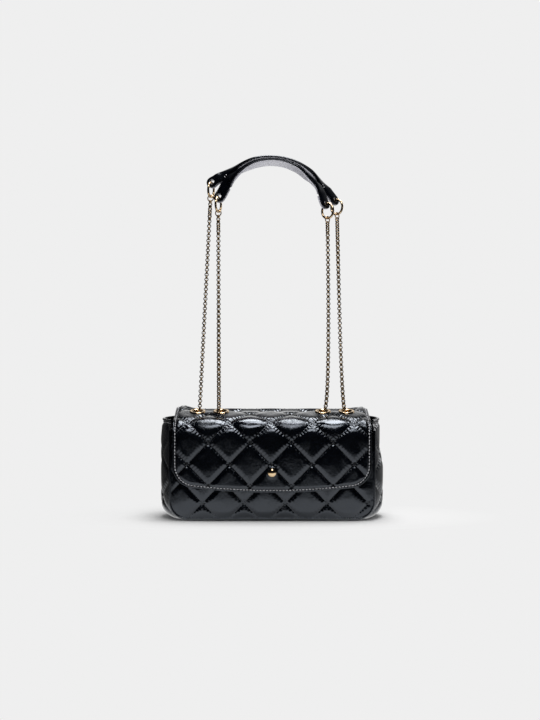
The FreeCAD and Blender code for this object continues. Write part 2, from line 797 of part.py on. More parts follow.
def make_eyelets():
    """Set eyelets in the top of the flap, each with its washer below."""
    bore = size.eyelet_bore
    barrel = bore + size.eyelet_wall
    under = -(flap_thickness + size.washer_thickness)
    end = under - size.eyelet_rim_height
    crown = (barrel + size.eyelet_flange) / 2
    section = [
        (bore, end),
        (size.eyelet_rim, end),
        (size.eyelet_rim, under),
        (barrel, under),
        (barrel, 0),
        (size.eyelet_flange, 0),
        (size.eyelet_flange, size.eyelet_lip),
        (crown, size.eyelet_dome),
        (barrel, size.eyelet_dome),
        (bore, size.eyelet_dome - size.eyelet_wall),
    ]
    ring = washer_section(barrel + size.hole_fit, size.washer_radius, under, -flap_thickness)
    for name, x in EYELETS.items():
        place = eyelet_seat(x, as_size(0))
        keep("eyelet_" + name, turned("eyelet_turned_" + name, section, place, size.top_slope))
        keep("washer_" + name, turned("washer_turned_" + name, ring, place, size.top_slope))


# Chain, rings and handle: shapes that follow directions in space
def number_of(amount):
    return as_size(amount).value


def vector_of(place):
    return Vector(*[number_of(amount) for amount in place])


def unit(vector):
    return Vector(vector).normalize()


def across(vector, axis):
    """Part of a vector that is square to an axis, at unit length."""
    return unit(vector - axis * vector.dot(axis))


LINK_OUTSIDE = number_of(size.link_radius + size.link_wire)
LINK_PITCH = number_of(size.link_radius * 2 - size.link_wire * 2 - size.link_gap)
AXLE = unit(Vector(0, -slope_sine.value, slope_cosine.value))
LENGTHWISE = unit(Vector(0, slope_cosine.value, slope_sine.value))


def under_run():
    """Sizes of the chain's turn below an eyelet: its leg lies against the bore and bends below the rim."""
    leg = number_of(size.eyelet_bore - size.clearance) - LINK_OUTSIDE
    rim = number_of(flap_thickness + size.washer_thickness + size.eyelet_rim_height)
    return SimpleNamespace(leg=leg, centre=-rim, bend=number_of(size.under_bend))


PIVOT_HEIGHT = size.eyelet_dome + size.pivot_rise


def pivot(name):
    """Where a chain hinges above its eyelet: its leg stands towards the eyelet beside it."""
    x = EYELETS[name].value
    side = 1 if x > 0 else -1
    inward = -side if name.endswith("outer") else side
    return vector_of(eyelet_seat(x, PIVOT_HEIGHT)) + Vector(inward * under_run().leg, 0, 0)


def links_along(places, axes):
    """Round links at places, with their axes."""
    radius, wire = size.link_radius.value, size.link_wire.value
    return Part.makeCompound([Part.makeTorus(radius, wire, place, axis) for place, axis in zip(places, axes)])


def feature(name, shape):
    """Sub-part whose shape is worked out above, from the sheet's values."""
    thing = doc.addObject("Part::Feature", name + "_shape")
    thing.Shape = shape
    return keep(name, thing)


def make_under_chain(side, outer, inner):
    """Chain between two eyelets below the flap: down one bore, across and up the other."""
    run = under_run()
    start, end = pivot(outer), pivot(inner)
    ahead = unit(end - start)
    drop = number_of(PIVOT_HEIGHT) - run.centre
    corner = run.bend * (1 - math.sqrt(0.5))
    bend_in = start - AXLE * drop
    bend_out = end - AXLE * drop
    low_in = bend_in + ahead * run.bend - AXLE * run.bend
    low_out = bend_out - ahead * run.bend - AXLE * run.bend
    mid_in = bend_in + ahead * corner - AXLE * run.bend * math.sqrt(0.5)
    mid_out = bend_out - ahead * corner - AXLE * run.bend * math.sqrt(0.5)
    edges = [
        Part.LineSegment(start, bend_in),
        Part.Arc(bend_in, mid_in, low_in),
        Part.LineSegment(low_in, low_out),
        Part.Arc(low_out, mid_out, bend_out),
        Part.LineSegment(bend_out, end),
    ]
    wire = Part.Wire([edge.toShape() for edge in edges])
    first = size.link_radius.value
    steps = 2 * math.ceil((wire.Length - 2 * first) / (2 * LINK_PITCH))
    fine = wire.discretize(Distance=first / 50)
    places, axes = [], []
    for index in range(steps + 1):
        share = (first + index * (wire.Length - 2 * first) / steps) / wire.Length
        at = min(max(round(share * (len(fine) - 1)), 1), len(fine) - 2)
        along = unit(fine[at + 1] - fine[at - 1])
        places.append(fine[at])
        axes.append(LENGTHWISE if index % 2 == 0 else along.cross(LENGTHWISE))
    feature("under_chain_" + side, links_along(places, axes))


def handle_frame(angle):
    """Middle of the strap and its directions at an angle from the top of the arch."""
    half = size.handle_half_angle.value
    twist = size.left_twist.value if angle < 0 else size.right_twist.value
    share = abs(angle) / half
    roll = math.radians(twist) * share ** 2 * (3 - 2 * share)
    turn = math.radians(angle + size.handle_tilt.value)
    outward = Vector(math.sin(turn), 0, math.cos(turn))
    centre = Vector(-size.handle_shift.value, 0, size.handle_height.value)
    rear = Vector(0, 1, 0)
    return SimpleNamespace(
        place=centre + outward * size.handle_radius.value,
        along=Vector(math.cos(turn), 0, -math.sin(turn)),
        width=rear * math.cos(roll) + outward * math.sin(roll),
        face=outward * math.cos(roll) - rear * math.sin(roll),
    )


def strap_section(frame, width, thickness, lift):
    """Rounded section of the strap, lifted off its middle along its face."""
    half, high = width / 2, thickness / 2
    rounding = thickness * ROUND_SHARE
    flat, tall = half - rounding, high - rounding
    bulge = rounding * math.sqrt(0.5)

    def at(u, v):
        return frame.place + frame.width * u + frame.face * (v + lift)

    edges = []
    for su, sv, straight in ((1, 1, "face"), (-1, 1, "side"), (-1, -1, "face"), (1, -1, "side")):
        on_side, on_face = at(su * half, sv * tall), at(su * flat, sv * high)
        middle = at(su * (flat + bulge), sv * (tall + bulge))
        if straight == "face":
            edges.append(Part.Arc(on_side, middle, on_face).toShape())
            edges.append(Part.LineSegment(on_face, at(-su * flat, sv * high)).toShape())
        else:
            edges.append(Part.Arc(on_face, middle, on_side).toShape())
            edges.append(Part.LineSegment(on_side, at(su * half, -sv * tall)).toShape())
    return Part.Wire(edges)


def ear_hole(end, row):
    """Hole of one ear: end is -1 on the left and +1 on the right, row is -1 in front and +1 behind."""
    frame = handle_frame(end * size.handle_half_angle.value)
    skew = -row * size.left_skew.value if end < 0 else 0
    out = frame.along * end
    reach = size.ear_reach.value + skew
    return SimpleNamespace(
        frame=frame, out=out, reach=reach,
        place=frame.place + out * reach + frame.width * row * size.ear_spacing.value / 2,
    )


def ear_blank(end, row):
    """Rounded ear at the end of the strap, with its hole."""
    hole = ear_hole(end, row)
    thick, radius = size.ear_thickness.value, size.ear_radius.value
    root = size.ear_root.value
    tongue = Part.makeBox(hole.reach + root, 2 * radius, thick, Vector(-hole.reach - root, -radius, -thick / 2))
    tip = Part.makeCylinder(radius, thick, Vector(0, 0, -thick / 2))
    bore = Part.makeCylinder(size.ear_hole.value, thick * 2, Vector(0, 0, -thick))
    out, face = hole.out, hole.frame.face
    side = face.cross(out)
    turned_to = Matrix(out.x, side.x, face.x, hole.place.x,
                       out.y, side.y, face.y, hole.place.y,
                       out.z, side.z, face.z, hole.place.z)
    place = Placement(turned_to)
    ear = tongue.fuse(tip)
    ear.Placement = place
    bore.Placement = place
    return ear, bore


def handle_loft(span, sizes_at):
    """Solid along the arch; sizes_at gives width, thickness and lift at a share of the way to an end."""
    half = size.handle_half_angle.value * span
    sections = []
    for index in range(HANDLE_SECTIONS):
        share = 2 * index / (HANDLE_SECTIONS - 1) - 1
        frame = handle_frame(half * share)
        sections.append(strap_section(frame, *sizes_at(abs(share) * span)))
    return Part.makeLoft(sections, True, False)


def make_handle():
    """Padded leather strap with two ears at each end, and the smooth strip under it."""
    end_width = number_of(size.ear_spacing + size.ear_radius * 2)
    middle_width, thick = size.handle_width.value, size.handle_thickness.value
    thin = size.ear_thickness.value

    def strap(share):
        ease = share ** 2
        return middle_width + (end_width - middle_width) * ease, thick + (thin - thick) * ease, 0

    def strip(share):
        width, height, _ = strap(share)
        lining = size.handle_lining.value
        lift = -height / 2 - size.handle_lining_gap.value - lining / 2
        return width - 2 * size.handle_lining_inset.value, lining, lift

    shape = handle_loft(1, strap)
    ears = [ear_blank(end, row) for end in (-1, 1) for row in (-1, 1)]
    shape = shape.fuse([ear for ear, _ in ears]).cut([bore for _, bore in ears])
    feature("handle_strap", shape)
    feature("handle_lining", handle_loft(LINING_SPAN_SHARE, strip))


def hoop(name, radius, wire, place, axis):
    """Closed wire ring."""
    ring = doc.addObject("Part::Torus", name + "_wire")
    bind(ring, "Radius1", radius)
    bind(ring, "Radius2", wire)
    ring.Placement = Placement(place, Rotation(Vector(0, 0, 1), axis))
    return keep(name, ring)


STRANDS = {
    "left_outer": (-1, 1, 0),
    "left_inner": (-1, -1, 0),
    "right_inner": (1, -1, size.inner_bend),
    "right_outer": (1, 1, -size.outer_bend),
}


def make_strand(name):
    """One chain with its rings: from its hinge above the eyelet up to an ear of the handle."""
    end, row, bend = STRANDS[name]
    foot = pivot(name)
    hole = ear_hole(end, row)
    face = hole.frame.face
    ring_radius, ring_wire = size.ring_radius.value, size.ring_wire.value
    jump_radius, jump_wire, gap = size.jump_radius.value, size.jump_wire.value, size.link_gap.value
    seat = number_of(size.ear_hole - size.ring_wire - size.ear_play)
    ring_place = hole.place + across(foot - hole.place, face) * (seat + ring_radius)
    ring_axis = unit(face.cross(foot - hole.place))
    down = across(foot - ring_place, ring_axis)
    hook = ring_place + down * (ring_radius - ring_wire - jump_wire - gap)
    jump_place = hook + down * jump_radius
    hoop("ring_" + name, size.ring_radius, size.ring_wire, ring_place, ring_axis)
    hoop("jump_ring_" + name, size.jump_radius, size.jump_wire, jump_place, unit(down.cross(ring_axis)))

    top = jump_place + down * jump_radius
    poles = [foot, top]
    if number_of(bend):
        poles.insert(1, foot + Vector(number_of(bend), 0, size.bend_height.value))
    route = Part.BezierCurve()
    route.setPoles(poles)
    edge = route.toShape()
    link, wire = size.link_radius.value, size.link_wire.value
    first = link - 2 * wire - gap
    last = edge.Length - link + wire + jump_wire + gap
    steps = math.ceil((last - first) / LINK_PITCH)
    fine = edge.discretize(Distance=link / 50)
    spread = [unit(fine[min(i + 1, len(fine) - 1)] - fine[max(i - 1, 0)]) for i in range(len(fine))]

    def at(length):
        return min(max(round(length / edge.Length * (len(fine) - 1)), 0), len(fine) - 1)

    sideways = Vector(1, 0, 0)
    end_along = spread[at(last)]
    base = across(sideways, end_along)
    lead = across(ring_axis, end_along)
    turn = math.atan2(lead.dot(end_along.cross(base)), lead.dot(base))
    turn -= (steps % 2) * math.pi / 2
    turn -= math.pi * round(turn / math.pi)
    places, axes = [], []
    for index in range(steps + 1):
        here = at(first + index * (last - first) / steps)
        along = spread[here]
        axis = across(sideways, along)
        angle = (index % 2) * math.pi / 2 + turn * index / steps
        places.append(fine[here])
        axes.append(axis * math.cos(angle) + along.cross(axis) * math.sin(angle))
    feature("chain_" + name, links_along(places, axes))


def make_strap():
    make_under_chain("left", "left_outer", "left_inner")
    make_under_chain("right", "right_outer", "right_inner")
    make_handle()
    for name in STRANDS:
        make_strand(name)


def write_parts():
    """Check every object, then write each sub-part to its own file."""
    doc.recompute()
    for thing in doc.Objects:
        if "Invalid" in thing.State or "Error" in thing.State:
            raise RuntimeError("%s did not build: %s" % (thing.Label, thing.State))
    for name, thing in subparts.items():
        if thing.Shape.isNull() or not thing.Shape.isValid() or not thing.Shape.Solids:
            raise RuntimeError(name + " has no valid solid")
    os.makedirs("parts", exist_ok=True)
    for name, thing in subparts.items():
        thing.Shape.exportStep("parts/%s.step" % name)


make_panels()
make_piping()
make_gusset()
make_base_board()
make_lining()
make_mouth_facing()
make_inner_pocket()
make_flap()
make_snap_stud()
make_front_stud()
make_eyelets()
make_strap()
write_parts()
print("hinge of the strap:", [tuple(round(c, 3) for c in pivot(name)) for name in EYELETS])
print("sub-parts:", len(subparts))
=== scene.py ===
"""Looks of the quilted shoulder bag: glossy crinkled leather, pale gold hardware, plain studio.

Lengths are in metres, in the bag's own frame: +Z up, the front faces -Y, +X is the viewer's right.
"""
import json
import math
from contextlib import contextmanager

import bpy
import numpy as np
from mathutils import Matrix, Vector, kdtree, noise


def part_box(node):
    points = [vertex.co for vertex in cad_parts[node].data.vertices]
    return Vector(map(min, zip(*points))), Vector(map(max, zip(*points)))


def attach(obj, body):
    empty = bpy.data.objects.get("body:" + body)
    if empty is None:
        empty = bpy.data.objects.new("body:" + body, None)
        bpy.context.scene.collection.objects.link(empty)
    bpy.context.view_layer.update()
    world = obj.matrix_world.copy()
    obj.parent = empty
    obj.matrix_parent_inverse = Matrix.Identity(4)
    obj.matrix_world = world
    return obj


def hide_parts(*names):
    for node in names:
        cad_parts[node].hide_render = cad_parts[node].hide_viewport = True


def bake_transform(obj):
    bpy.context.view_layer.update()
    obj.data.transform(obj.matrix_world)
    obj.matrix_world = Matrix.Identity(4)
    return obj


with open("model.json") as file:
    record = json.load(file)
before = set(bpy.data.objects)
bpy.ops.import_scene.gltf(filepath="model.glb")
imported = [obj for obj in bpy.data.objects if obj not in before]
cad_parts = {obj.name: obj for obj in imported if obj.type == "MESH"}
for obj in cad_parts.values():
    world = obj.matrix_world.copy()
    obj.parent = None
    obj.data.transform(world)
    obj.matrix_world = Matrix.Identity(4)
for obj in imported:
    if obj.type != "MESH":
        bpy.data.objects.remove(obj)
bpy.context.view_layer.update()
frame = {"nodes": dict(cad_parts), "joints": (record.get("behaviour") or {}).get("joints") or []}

STRANDS = ("left_outer", "left_inner", "right_inner", "right_outer")
JOINTS = {joint["name"]: joint for joint in frame["joints"]}

# Quilting: diamonds sewn through the leather and its padding
DIAMOND = (0.0228, 0.0236)  # half width and half height
FLAP_CROSSING = (-0.0015, 0.0631)  # crossing of stitch lines on the flap's front, above the ground
FRONT_QUILT = ((0.0147, 0.020), DIAMOND)
BACK_QUILT = ((0.0, 0.0315), DIAMOND)
GUSSET_QUILT = ((0.0, 0.0114), DIAMOND[::-1])
GRID_STEPS = 18  # faces along one side of a diamond
PUFF_START = 0.0033  # height of the pillows before the leather is filled
PUFF_POWER = 0.42
PUFF_HEIGHT = 0.0021  # height of the pillows above the stitch lines
SHOULDER = 0.0056  # width of their rounded sides
ROUND_SHOULDER = 0.0115  # the same where the flap turns over
DOME = 0.00022  # how much higher their middles are
FOAM_SHARE = 0.3  # part of the filled shape that is kept in them
LUMPS = 0.00010
CLOTH_FRAMES = 16
STITCHES_A_SIDE = 9
PUCKER = 0.00036  # height and width of the puckers beside the stitches
PUCKER_WIDTH = 0.0010
QUILT_STITCH = (0.0027, 0.0006, 0.0001)  # length, thickness and lift off the leather
HEM_STITCH = (0.0029, 0.0012, 0.0004)
RIM_STITCH = (0.0026, 0.00075, 0.0002)
POCKET_STITCH = (0.0023, 0.0006, 0.0001)
FOLD_STITCH = (0.0026, 0.0007, 0.0001)
TACK_STITCH = (0.003, 0.0009)
STITCH_PITCH = 0.0034
HEM_PITCH = 0.0036
PANEL_SKIN = 0.0009  # thickness of the leather
GUSSET_SKIN = 0.0005

# Flap
FLAP_LOW, FLAP_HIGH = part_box("flap")
FLAP_HALF = FLAP_HIGH.x
FLAP_FRONT = FLAP_LOW.y
FLAP_BASE = FLAP_LOW.z
HINGE = Vector(JOINTS["flap_hinge"]["pos_m"])
BACK_ROLL = 0.014
FRONT_ROLL = 0.024  # the soft flap turns down the front more gently than its solid
TOP_SLOPE = math.radians(12)
SLOPE_RUN, SLOPE_RISE = math.cos(TOP_SLOPE), math.sin(TOP_SLOPE)
FLAP_SAG = 0.005
FLAP_CORNER = 0.024
FLAP_VALLEY = 0.0028  # stitch lines below the solid's outer face
FLAP_SEAT = FLAP_VALLEY - 0.0002  # height of the padding under the hardware
FLAP_MIDDLE_DEPTH = 0.002  # depth at which lengths along the flap are measured
FLAP_LINING_DEPTH = 0.0043
LINING_INSET = 0.0008
TOP_DIP = 0.0058  # how far the flap's top sinks behind the chains
EDGE_DROOP = 0.003  # how far the flap's top sinks at its two sides
DROOP_WIDTH = 0.009
LEFT_RISE = 0.0016  # how far its left corner stands up
HEM_WIDTH = 0.0021
HEM_BASE = 0.0004
HEM_RISE = 0.0006
HEM_FADE = 2.5  # widths of the hem after which the padding is full
LIP_RADIUS = 0.0009  # rounded edge of the flap
LIP_INSET = 0.0003
LIP_STEP = 0.0025
LIP_HEIGHT = 0.0006
SEAT_FADE = 0.006  # leather over which the padding rises round the hardware
STUD_FADE = 0.004
FLAP_LINING_SKIN = 0.0005
FOLD_COVER = 0.0088  # length of the flap that the leather strip at its fold covers
FOLD_TURN = math.radians(38)
FOLD_LOW = 0.098
FOLD_HEIGHT = 0.0016  # padding left under that strip
FOLD_FADE = 0.008
FOLD_STITCH_INSET = 0.0025
FOLD_TUCK = 0.0024  # how far its ends bend in
FOLD_TUCK_WIDTH = 0.012
FOLD_PROUD = 0.0003  # how far it stands out from the roll of the flap
FOLD_THICKNESS = 0.0012

# Panels and gusset
FRONT_LOW, FRONT_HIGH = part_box("front_panel")
BACK_LOW, BACK_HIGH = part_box("back_panel")
PANEL_HALF = FRONT_HIGH.x
PANEL_CORNER = 0.018
PANEL_VALLEY = 0.0030
SEAM_FADE = 0.008
PRESSED_SHARE = 0.3  # padding lost where the flap lies on the front
COVERED = (FLAP_BASE + 0.002, FLAP_BASE + 0.014)
TOP_LEAN = 0.003  # how far the front's upper edge leans in under the flap
LEAN_HEIGHT = 0.018
LOWER_SWELL = 0.0011  # how far the front swells out below the flap
SWELL_FADE = 0.022
SNAP_RADIUS = 0.007
SNAP_SEAT = PANEL_VALLEY - 0.0003
GUSSET_MID_HALF = 0.125
GUSSET_EDGE_HALF = 0.1125
GUSSET_CORNER = 0.019
GUSSET_HALF_DEPTH = 0.031
GUSSET_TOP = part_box("gusset")[1].z
GUSSET_VALLEY = 0.0023
GUSSET_HEM = 0.0038
GUSSET_HEM_FADE = 2.2
SEAM_TUCK = 0.0012  # gusset that goes on under the piping
SEAM_HEIGHT = 0.0018
RIGHT_PINCH = 0.004  # how far the sides are drawn in, and the heights between which they are
RIGHT_PINCH_HEIGHTS = (0.056, 0.082)
LEFT_PINCH = 0.0015
LEFT_PINCH_HEIGHTS = (0.085, 0.108)
RIM_RADIUS = 0.0013
RIM_INSET = 0.0008
PIPING_RADIUS = 0.0013
PIPING_OUT = 0.0010
PIPING_DEPTH = 0.0328
PIPING_STEP = 0.003

# Inside of the bag
TWILL_EDGE = 0.0035  # twill inside the gusset's edges and above the ground
TWILL_CORNER = 0.016
TWILL_LUMPS = 0.0005
TWILL_LUMP_SCALE = 38
TWILL_DEPTH = 0.0034  # twill inside the gusset's outer face
TWILL_SIDE_GAP = 0.0006
TWILL_SKIN = 0.0004
MOUTH_HEIGHT = 0.1
MOUTH_INSET = 0.0032
MOUTH_THICKNESS = 0.0012
POCKET_CORNER = 0.006
POCKET_SKIN = 0.0008
POCKET_PUFF = 0.0006
POCKET_FADE = 0.012
POCKET_LUMPS = 0.0002
POCKET_DEPTH = 0.0012
POCKET_ROW = (0.002, 0.003)  # inset and pitch of its stitches

# Hardware
EYELET_ROW = -0.005  # y of the row of eyelets
EYELET_FLANGE = 0.0095
EYELET_BORE = 0.0068
STUD_RADIUS = 0.0045
STITCH_CLEARANCE = 0.002  # leather without stitches round the hardware
TURNED_SIDES = 40
EYELET_PROFILE = [
    (0.0090, 0.0001), (0.0090, 0.0004), (0.0087, 0.0008), (0.0081, 0.00105), (0.0074, 0.0011),
    (0.0066, 0.001), (0.0059, 0.0007), (0.0054, 0.0002), (0.0052, -0.0004), (0.0052, -0.0058),
    (0.0054, -0.0063), (0.0061, -0.0066), (0.0069, -0.0064), (0.0074, -0.0059), (0.0071, -0.0054),
    (0.0059, -0.0054), (0.0059, -0.0002), (0.0088, -0.0002)]
STUD_PROFILE = [
    (0.0044, -0.0004), (0.0045, 0.0003), (0.00435, 0.0006), (0.0040, 0.0007), (0.0038, 0.0008),
    (0.0036, 0.0011), (0.0031, 0.0015), (0.0024, 0.00185), (0.0016, 0.0021), (0.0008, 0.0022)]

# Chains
LINK_RADIUS = 0.0019
LINK_WIRE = 0.00046
LINK_GAP = 0.00014
LINK_ROUND = 0.00194  # half width of the links as they show, in the middle of their band
LINK_STRETCH = 0.93
LINK_WALL = 0.0005  # half thickness and half width of the band
LINK_BAND = 0.0012
STRAND_ROUTES = {
    "left_outer": [(-0.08096, -0.005603, 0.12141), (-0.06908, 0.00129, 0.35425)],
    "left_inner": [(-0.05954, -0.005603, 0.12141), (-0.0599, -0.00615, 0.33694)],
    "right_inner": [(0.05954, -0.005603, 0.12141), (0.06504, -0.005603, 0.14341),
                    (0.06178, -0.00924, 0.32946)],
    "right_outer": [(0.08096, -0.005603, 0.12141), (0.07696, -0.005603, 0.14341),
                    (0.0733, 0.00421, 0.33533)],
}
STRAND_TURNS = {"left_outer": (0.0, 0.0), "left_inner": (0.75, 0.0), "right_inner": (0.4, 0.0),
                "right_outer": (-0.6, 0.65)}  # how the links hang, from the eyelet to the ring
UNTWIST_FROM = 0.86  # from here up a chain turns to meet its ring
UNDER_DROP = 0.0092
UNDER_BEND = 0.0056
JUMP_WIRE = 0.00062

# Handle
HANDLE_RADIUS = 0.069
HANDLE_CENTRE = Vector((-0.002, 0, 0.333))
HANDLE_TILT = math.radians(6)
HANDLE_HALF_ANGLE = math.radians(56)
LEFT_TWIST = math.radians(66)
RIGHT_TWIST = math.radians(41)
TOP_ROLL = math.radians(-9)
LAYER_HALF = 0.0115  # half width of the folded strap at the top of its arch
LAYER_HIGH = 0.00145  # half thickness of one of its two layers there
LAYER_OFFSET = 0.0017  # distance of each layer from the middle there
MID_SWELL = 0.0008  # how much fuller the layers are between the top and the ears
FOLD_OPENING = 0.0010  # how far they stand apart in the right half
SETTLE = 0.0020  # how far the soft strap sits below its solid at the top
LINING_HIGH = 0.0006  # half thickness of the pale lining at the top and at the ends
LINING_END_HIGH = 0.0022
LINING_TUCK = 0.0006
LINING_FLARE = 0.0010
INSIDE_GAP = 0.0010
INSIDE_SINK = 0.0004
INSIDE_REACH = 0.84  # share of the arch that has the lining between its layers
BACKING_HIGH = 0.0009
EAR_HALF_SPACING = 0.0095
EAR_RADIUS = 0.0065
EAR_THICKNESS = 0.0032
EAR_REACH = 0.013
EAR_HOLE = 0.003
EAR_TIP_TURN = 1.46
EAR_TIP_THINNED = 0.55
# How square the sections of the strap are: 2 is an ellipse
LAYER_POWER, EAR_POWER, BACKING_POWER, LINING_POWER, INSIDE_POWER = 2.6, 2.8, 3.0, 3.4, 4
PARTING = (0.35, 1)  # shares of the arch over which the layers part, close and open
CLOSING = (1, 0.6)
OPENING = (0.36, 0.66)
OPENING_END = (0.90, 0.76)
LINING_TAPER = (1, 0.76)
LEFT_SKEW = 0.004
TACK_SHARES = (-0.90, -0.94, 0.90, 0.94)

# Studio: a range of light or shadow gives two places and how bright it is at each of them
CAMERA_PLACE = Vector((-0.00225, -1.3, 0.205))
CAMERA_PITCH = 0.0222
CAMERA_LENS = 57.83
BACKDROP = 0.863  # pale grey of the studio
FLOOR_SHADE = 0.80
AMBIENT = 0.25
FLOOR_SIZE = (6.0, 4.7)
FLOOR_MIDDLE = (0, 1.62, -0.0002)
SHADOW_SHAPE = (0.4, 1, 1)
FLOOR_SHADOW = (0.046, 0.105, 0.0, 1.0)
MIRRORED_SHADOW = (0.03, 0.058, 0.2, 1.0)
TABLE_NEAR = (-0.345, -0.225, 0.02, 1.15)
TABLE_LEFT = (-0.27, -0.13, 0.06, 1.0)
TABLE_RIGHT = (0.14, 0.32, 1.0, 0.2)
ROOM_BEHIND = (0.02, 0.55, 0.02, 1.0)
ROOM_LEFT = (-0.35, -0.04, 0.06, 1.0)
ROOM_RIGHT = (0.05, 0.4, 1.0, 0.2)
ROOM_ABOVE = (0.42, 0.72, 1.0, 0.15)
SOFTBOXES = {  # place, target, width, length and power
    "key_softbox": ((0.10, 0.08, 1.25), (0, 0, 0.1), 0.7, 0.42, 12),
    "front_softbox": ((0.05, -0.62, 1.05), (0, 0, 0.1), 0.55, 0.3, 3.4),
    "rim_softbox": ((0.95, 0.75, 0.40), (0.1, 0, 0.07), 0.3, 0.5, 1.4),
}


# Small tools
def deselect():
    if bpy.context.object and bpy.context.object.mode != "OBJECT":
        bpy.ops.object.mode_set(mode="OBJECT")
    bpy.ops.object.select_all(action="DESELECT")


def make_active(piece):
    deselect()
    piece.select_set(True)
    bpy.context.view_layer.objects.active = piece


@contextmanager
def editing(piece):
    """Work on all points and faces of a piece."""
    make_active(piece)
    bpy.ops.object.mode_set(mode="EDIT")
    bpy.ops.mesh.select_all(action="SELECT")
    yield
    bpy.ops.object.mode_set(mode="OBJECT")


def rename(piece, name):
    piece.name = name
    piece.data.name = name
    return piece


def points_of(piece):
    places = np.empty(len(piece.data.vertices) * 3)
    piece.data.vertices.foreach_get("co", places)
    return places.reshape(-1, 3)


def move_points(piece, places):
    piece.data.vertices.foreach_set("co", np.ascontiguousarray(places, dtype=float).ravel())
    piece.data.update()


def apply_modifier(piece, kind, **settings):
    make_active(piece)
    modifier = piece.modifiers.new(kind.title(), kind)
    for name, value in settings.items():
        setattr(modifier, name, value)
    bpy.ops.object.modifier_apply(modifier=modifier.name)


def smooth_shade(piece, angle=math.pi):
    """Smooth faces, with edges kept where they turn by more than an angle."""
    make_active(piece)
    if angle < math.pi:
        bpy.ops.object.shade_smooth_by_angle(angle=angle)
    else:
        bpy.ops.object.shade_smooth()


def outward(piece):
    """Merge doubles and turn all faces outwards."""
    with editing(piece):
        bpy.ops.mesh.remove_doubles(threshold=1e-6)
        bpy.ops.mesh.normals_make_consistent(inside=False)


def face_up(sheet):
    if sum(face.normal.z for face in sheet.data.polygons) < 0:
        sheet.data.flip_normals()


def new_mesh(name, places, faces):
    mesh = bpy.data.meshes.new(name)
    mesh.from_pydata([tuple(p) for p in places], [], faces)
    piece = bpy.data.objects.new(name, mesh)
    bpy.context.scene.collection.objects.link(piece)
    return piece


def pattern_of(piece, scale):
    """Points and faces of a small piece that is modelled once and then copied."""
    shape = points_of(piece) * scale
    faces = [tuple(face.vertices) for face in piece.data.polygons]
    bpy.data.objects.remove(piece)
    return shape, faces


def copies(name, pattern, places, turns=np.eye(3)[None]):
    """A pattern set at many places, each time with its own turn."""
    shape, faces = pattern
    spots = shape @ np.swapaxes(np.array(turns), 1, 2) + np.array(places)[:, None]
    joined = [tuple(v + index * len(shape) for v in face) for index in range(len(spots)) for face in faces]
    piece = new_mesh(name, spots.reshape(-1, 3), joined)
    smooth_shade(piece)
    return piece


def curve_along(name, kind, points):
    curve = bpy.data.curves.new(name, "CURVE")
    curve.dimensions = "3D"
    spline = curve.splines.new(kind)
    spline.points.add(len(points) - 1)
    for point, place in zip(spline.points, points):
        point.co = (*place, 1)
    return curve, spline


def tube(name, points, radius):
    """Round bar of leather along points."""
    curve, _ = curve_along(name, "POLY", points)
    curve.bevel_depth = radius
    curve.bevel_resolution = 3
    curve.use_fill_caps = True
    piece = bpy.data.objects.new(name, curve)
    bpy.context.scene.collection.objects.link(piece)
    make_active(piece)
    bpy.ops.object.convert(target="MESH")
    piece = rename(bpy.context.object, name)
    smooth_shade(piece)
    return piece


def loft(name, rings, closed=False):
    """Skin over rings of points, with its ends closed unless it meets itself."""
    rings = np.array(rings, dtype=float)
    count, size = rings.shape[:2]
    faces = []
    for index in range(count if closed else count - 1):
        here, ahead = index * size, (index + 1) % count * size
        faces += [(here + k, here + (k + 1) % size, ahead + (k + 1) % size, ahead + k) for k in range(size)]
    if not closed:
        faces += [tuple(range(size)), tuple(range(count * size - size, count * size))]
    piece = new_mesh(name, rings.reshape(-1, 3), faces)
    outward(piece)
    return piece


def smoothstep(low, high, value):
    share = np.clip((value - low) / (high - low), 0, 1)
    return share * share * (3 - 2 * share)


def mean_noise(places, scale, seed):
    """Slow unevenness of a hand-made surface, about -1 to 1."""
    shift = Vector((seed, 2.3 * seed, -1.7 * seed))
    return np.array([noise.noise(Vector(p) * scale + shift) for p in places])


def knots_of(line):
    """Distance along a line to each of its points."""
    return np.concatenate([[0], np.cumsum(np.linalg.norm(np.diff(line, axis=0), axis=1))])


def along_line(line, marks, reach):
    """Places at distances along a line, and its directions there."""
    knots = knots_of(line)
    places, ahead, behind = (np.stack([np.interp(marks + shift, knots, side) for side in line.T], axis=1)
                             for shift in (0, reach, -reach))
    return places, (ahead - behind) / np.linalg.norm(ahead - behind, axis=1)[:, None]


def middle_of(node):
    low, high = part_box(node)
    return (low + high) / 2


def dress(piece, body, material, replaced=()):
    """Give a finished piece its body and its finish."""
    piece.data.materials.clear()
    piece.data.materials.append(material)
    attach(piece, body)
    if replaced:
        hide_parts(*replaced)


# Finishes
def fill(tree, node, inputs):
    """Set a node's inputs, or wire them to another node."""
    for name, value in inputs.items():
        if isinstance(value, bpy.types.NodeSocket):
            tree.links.new(value, node.inputs[name])
        else:
            node.inputs[name].default_value = value
    return node


def add_node(tree, kind, inputs, **settings):
    node = tree.nodes.new("ShaderNode" + kind)
    for name, value in settings.items():
        setattr(node, name, value)
    return fill(tree, node, inputs)


def shader(name):
    material = bpy.data.materials.new(name)
    material.use_nodes = True
    return material, material.node_tree, material.node_tree.nodes["Principled BSDF"]


def grey(shade):
    return (shade, shade, shade, 1)


def object_place(tree):
    place = tree.nodes.get("Place") or add_node(tree, "TexCoord", {}, name="Place")
    return place.outputs["Object"]


def object_noise(tree, scale, detail, roughness=0.55, distortion=0.0):
    inputs = {"Vector": object_place(tree), "Scale": scale, "Detail": detail, "Roughness": roughness,
              "Distortion": distortion}
    return add_node(tree, "TexNoise", inputs).outputs["Fac"]


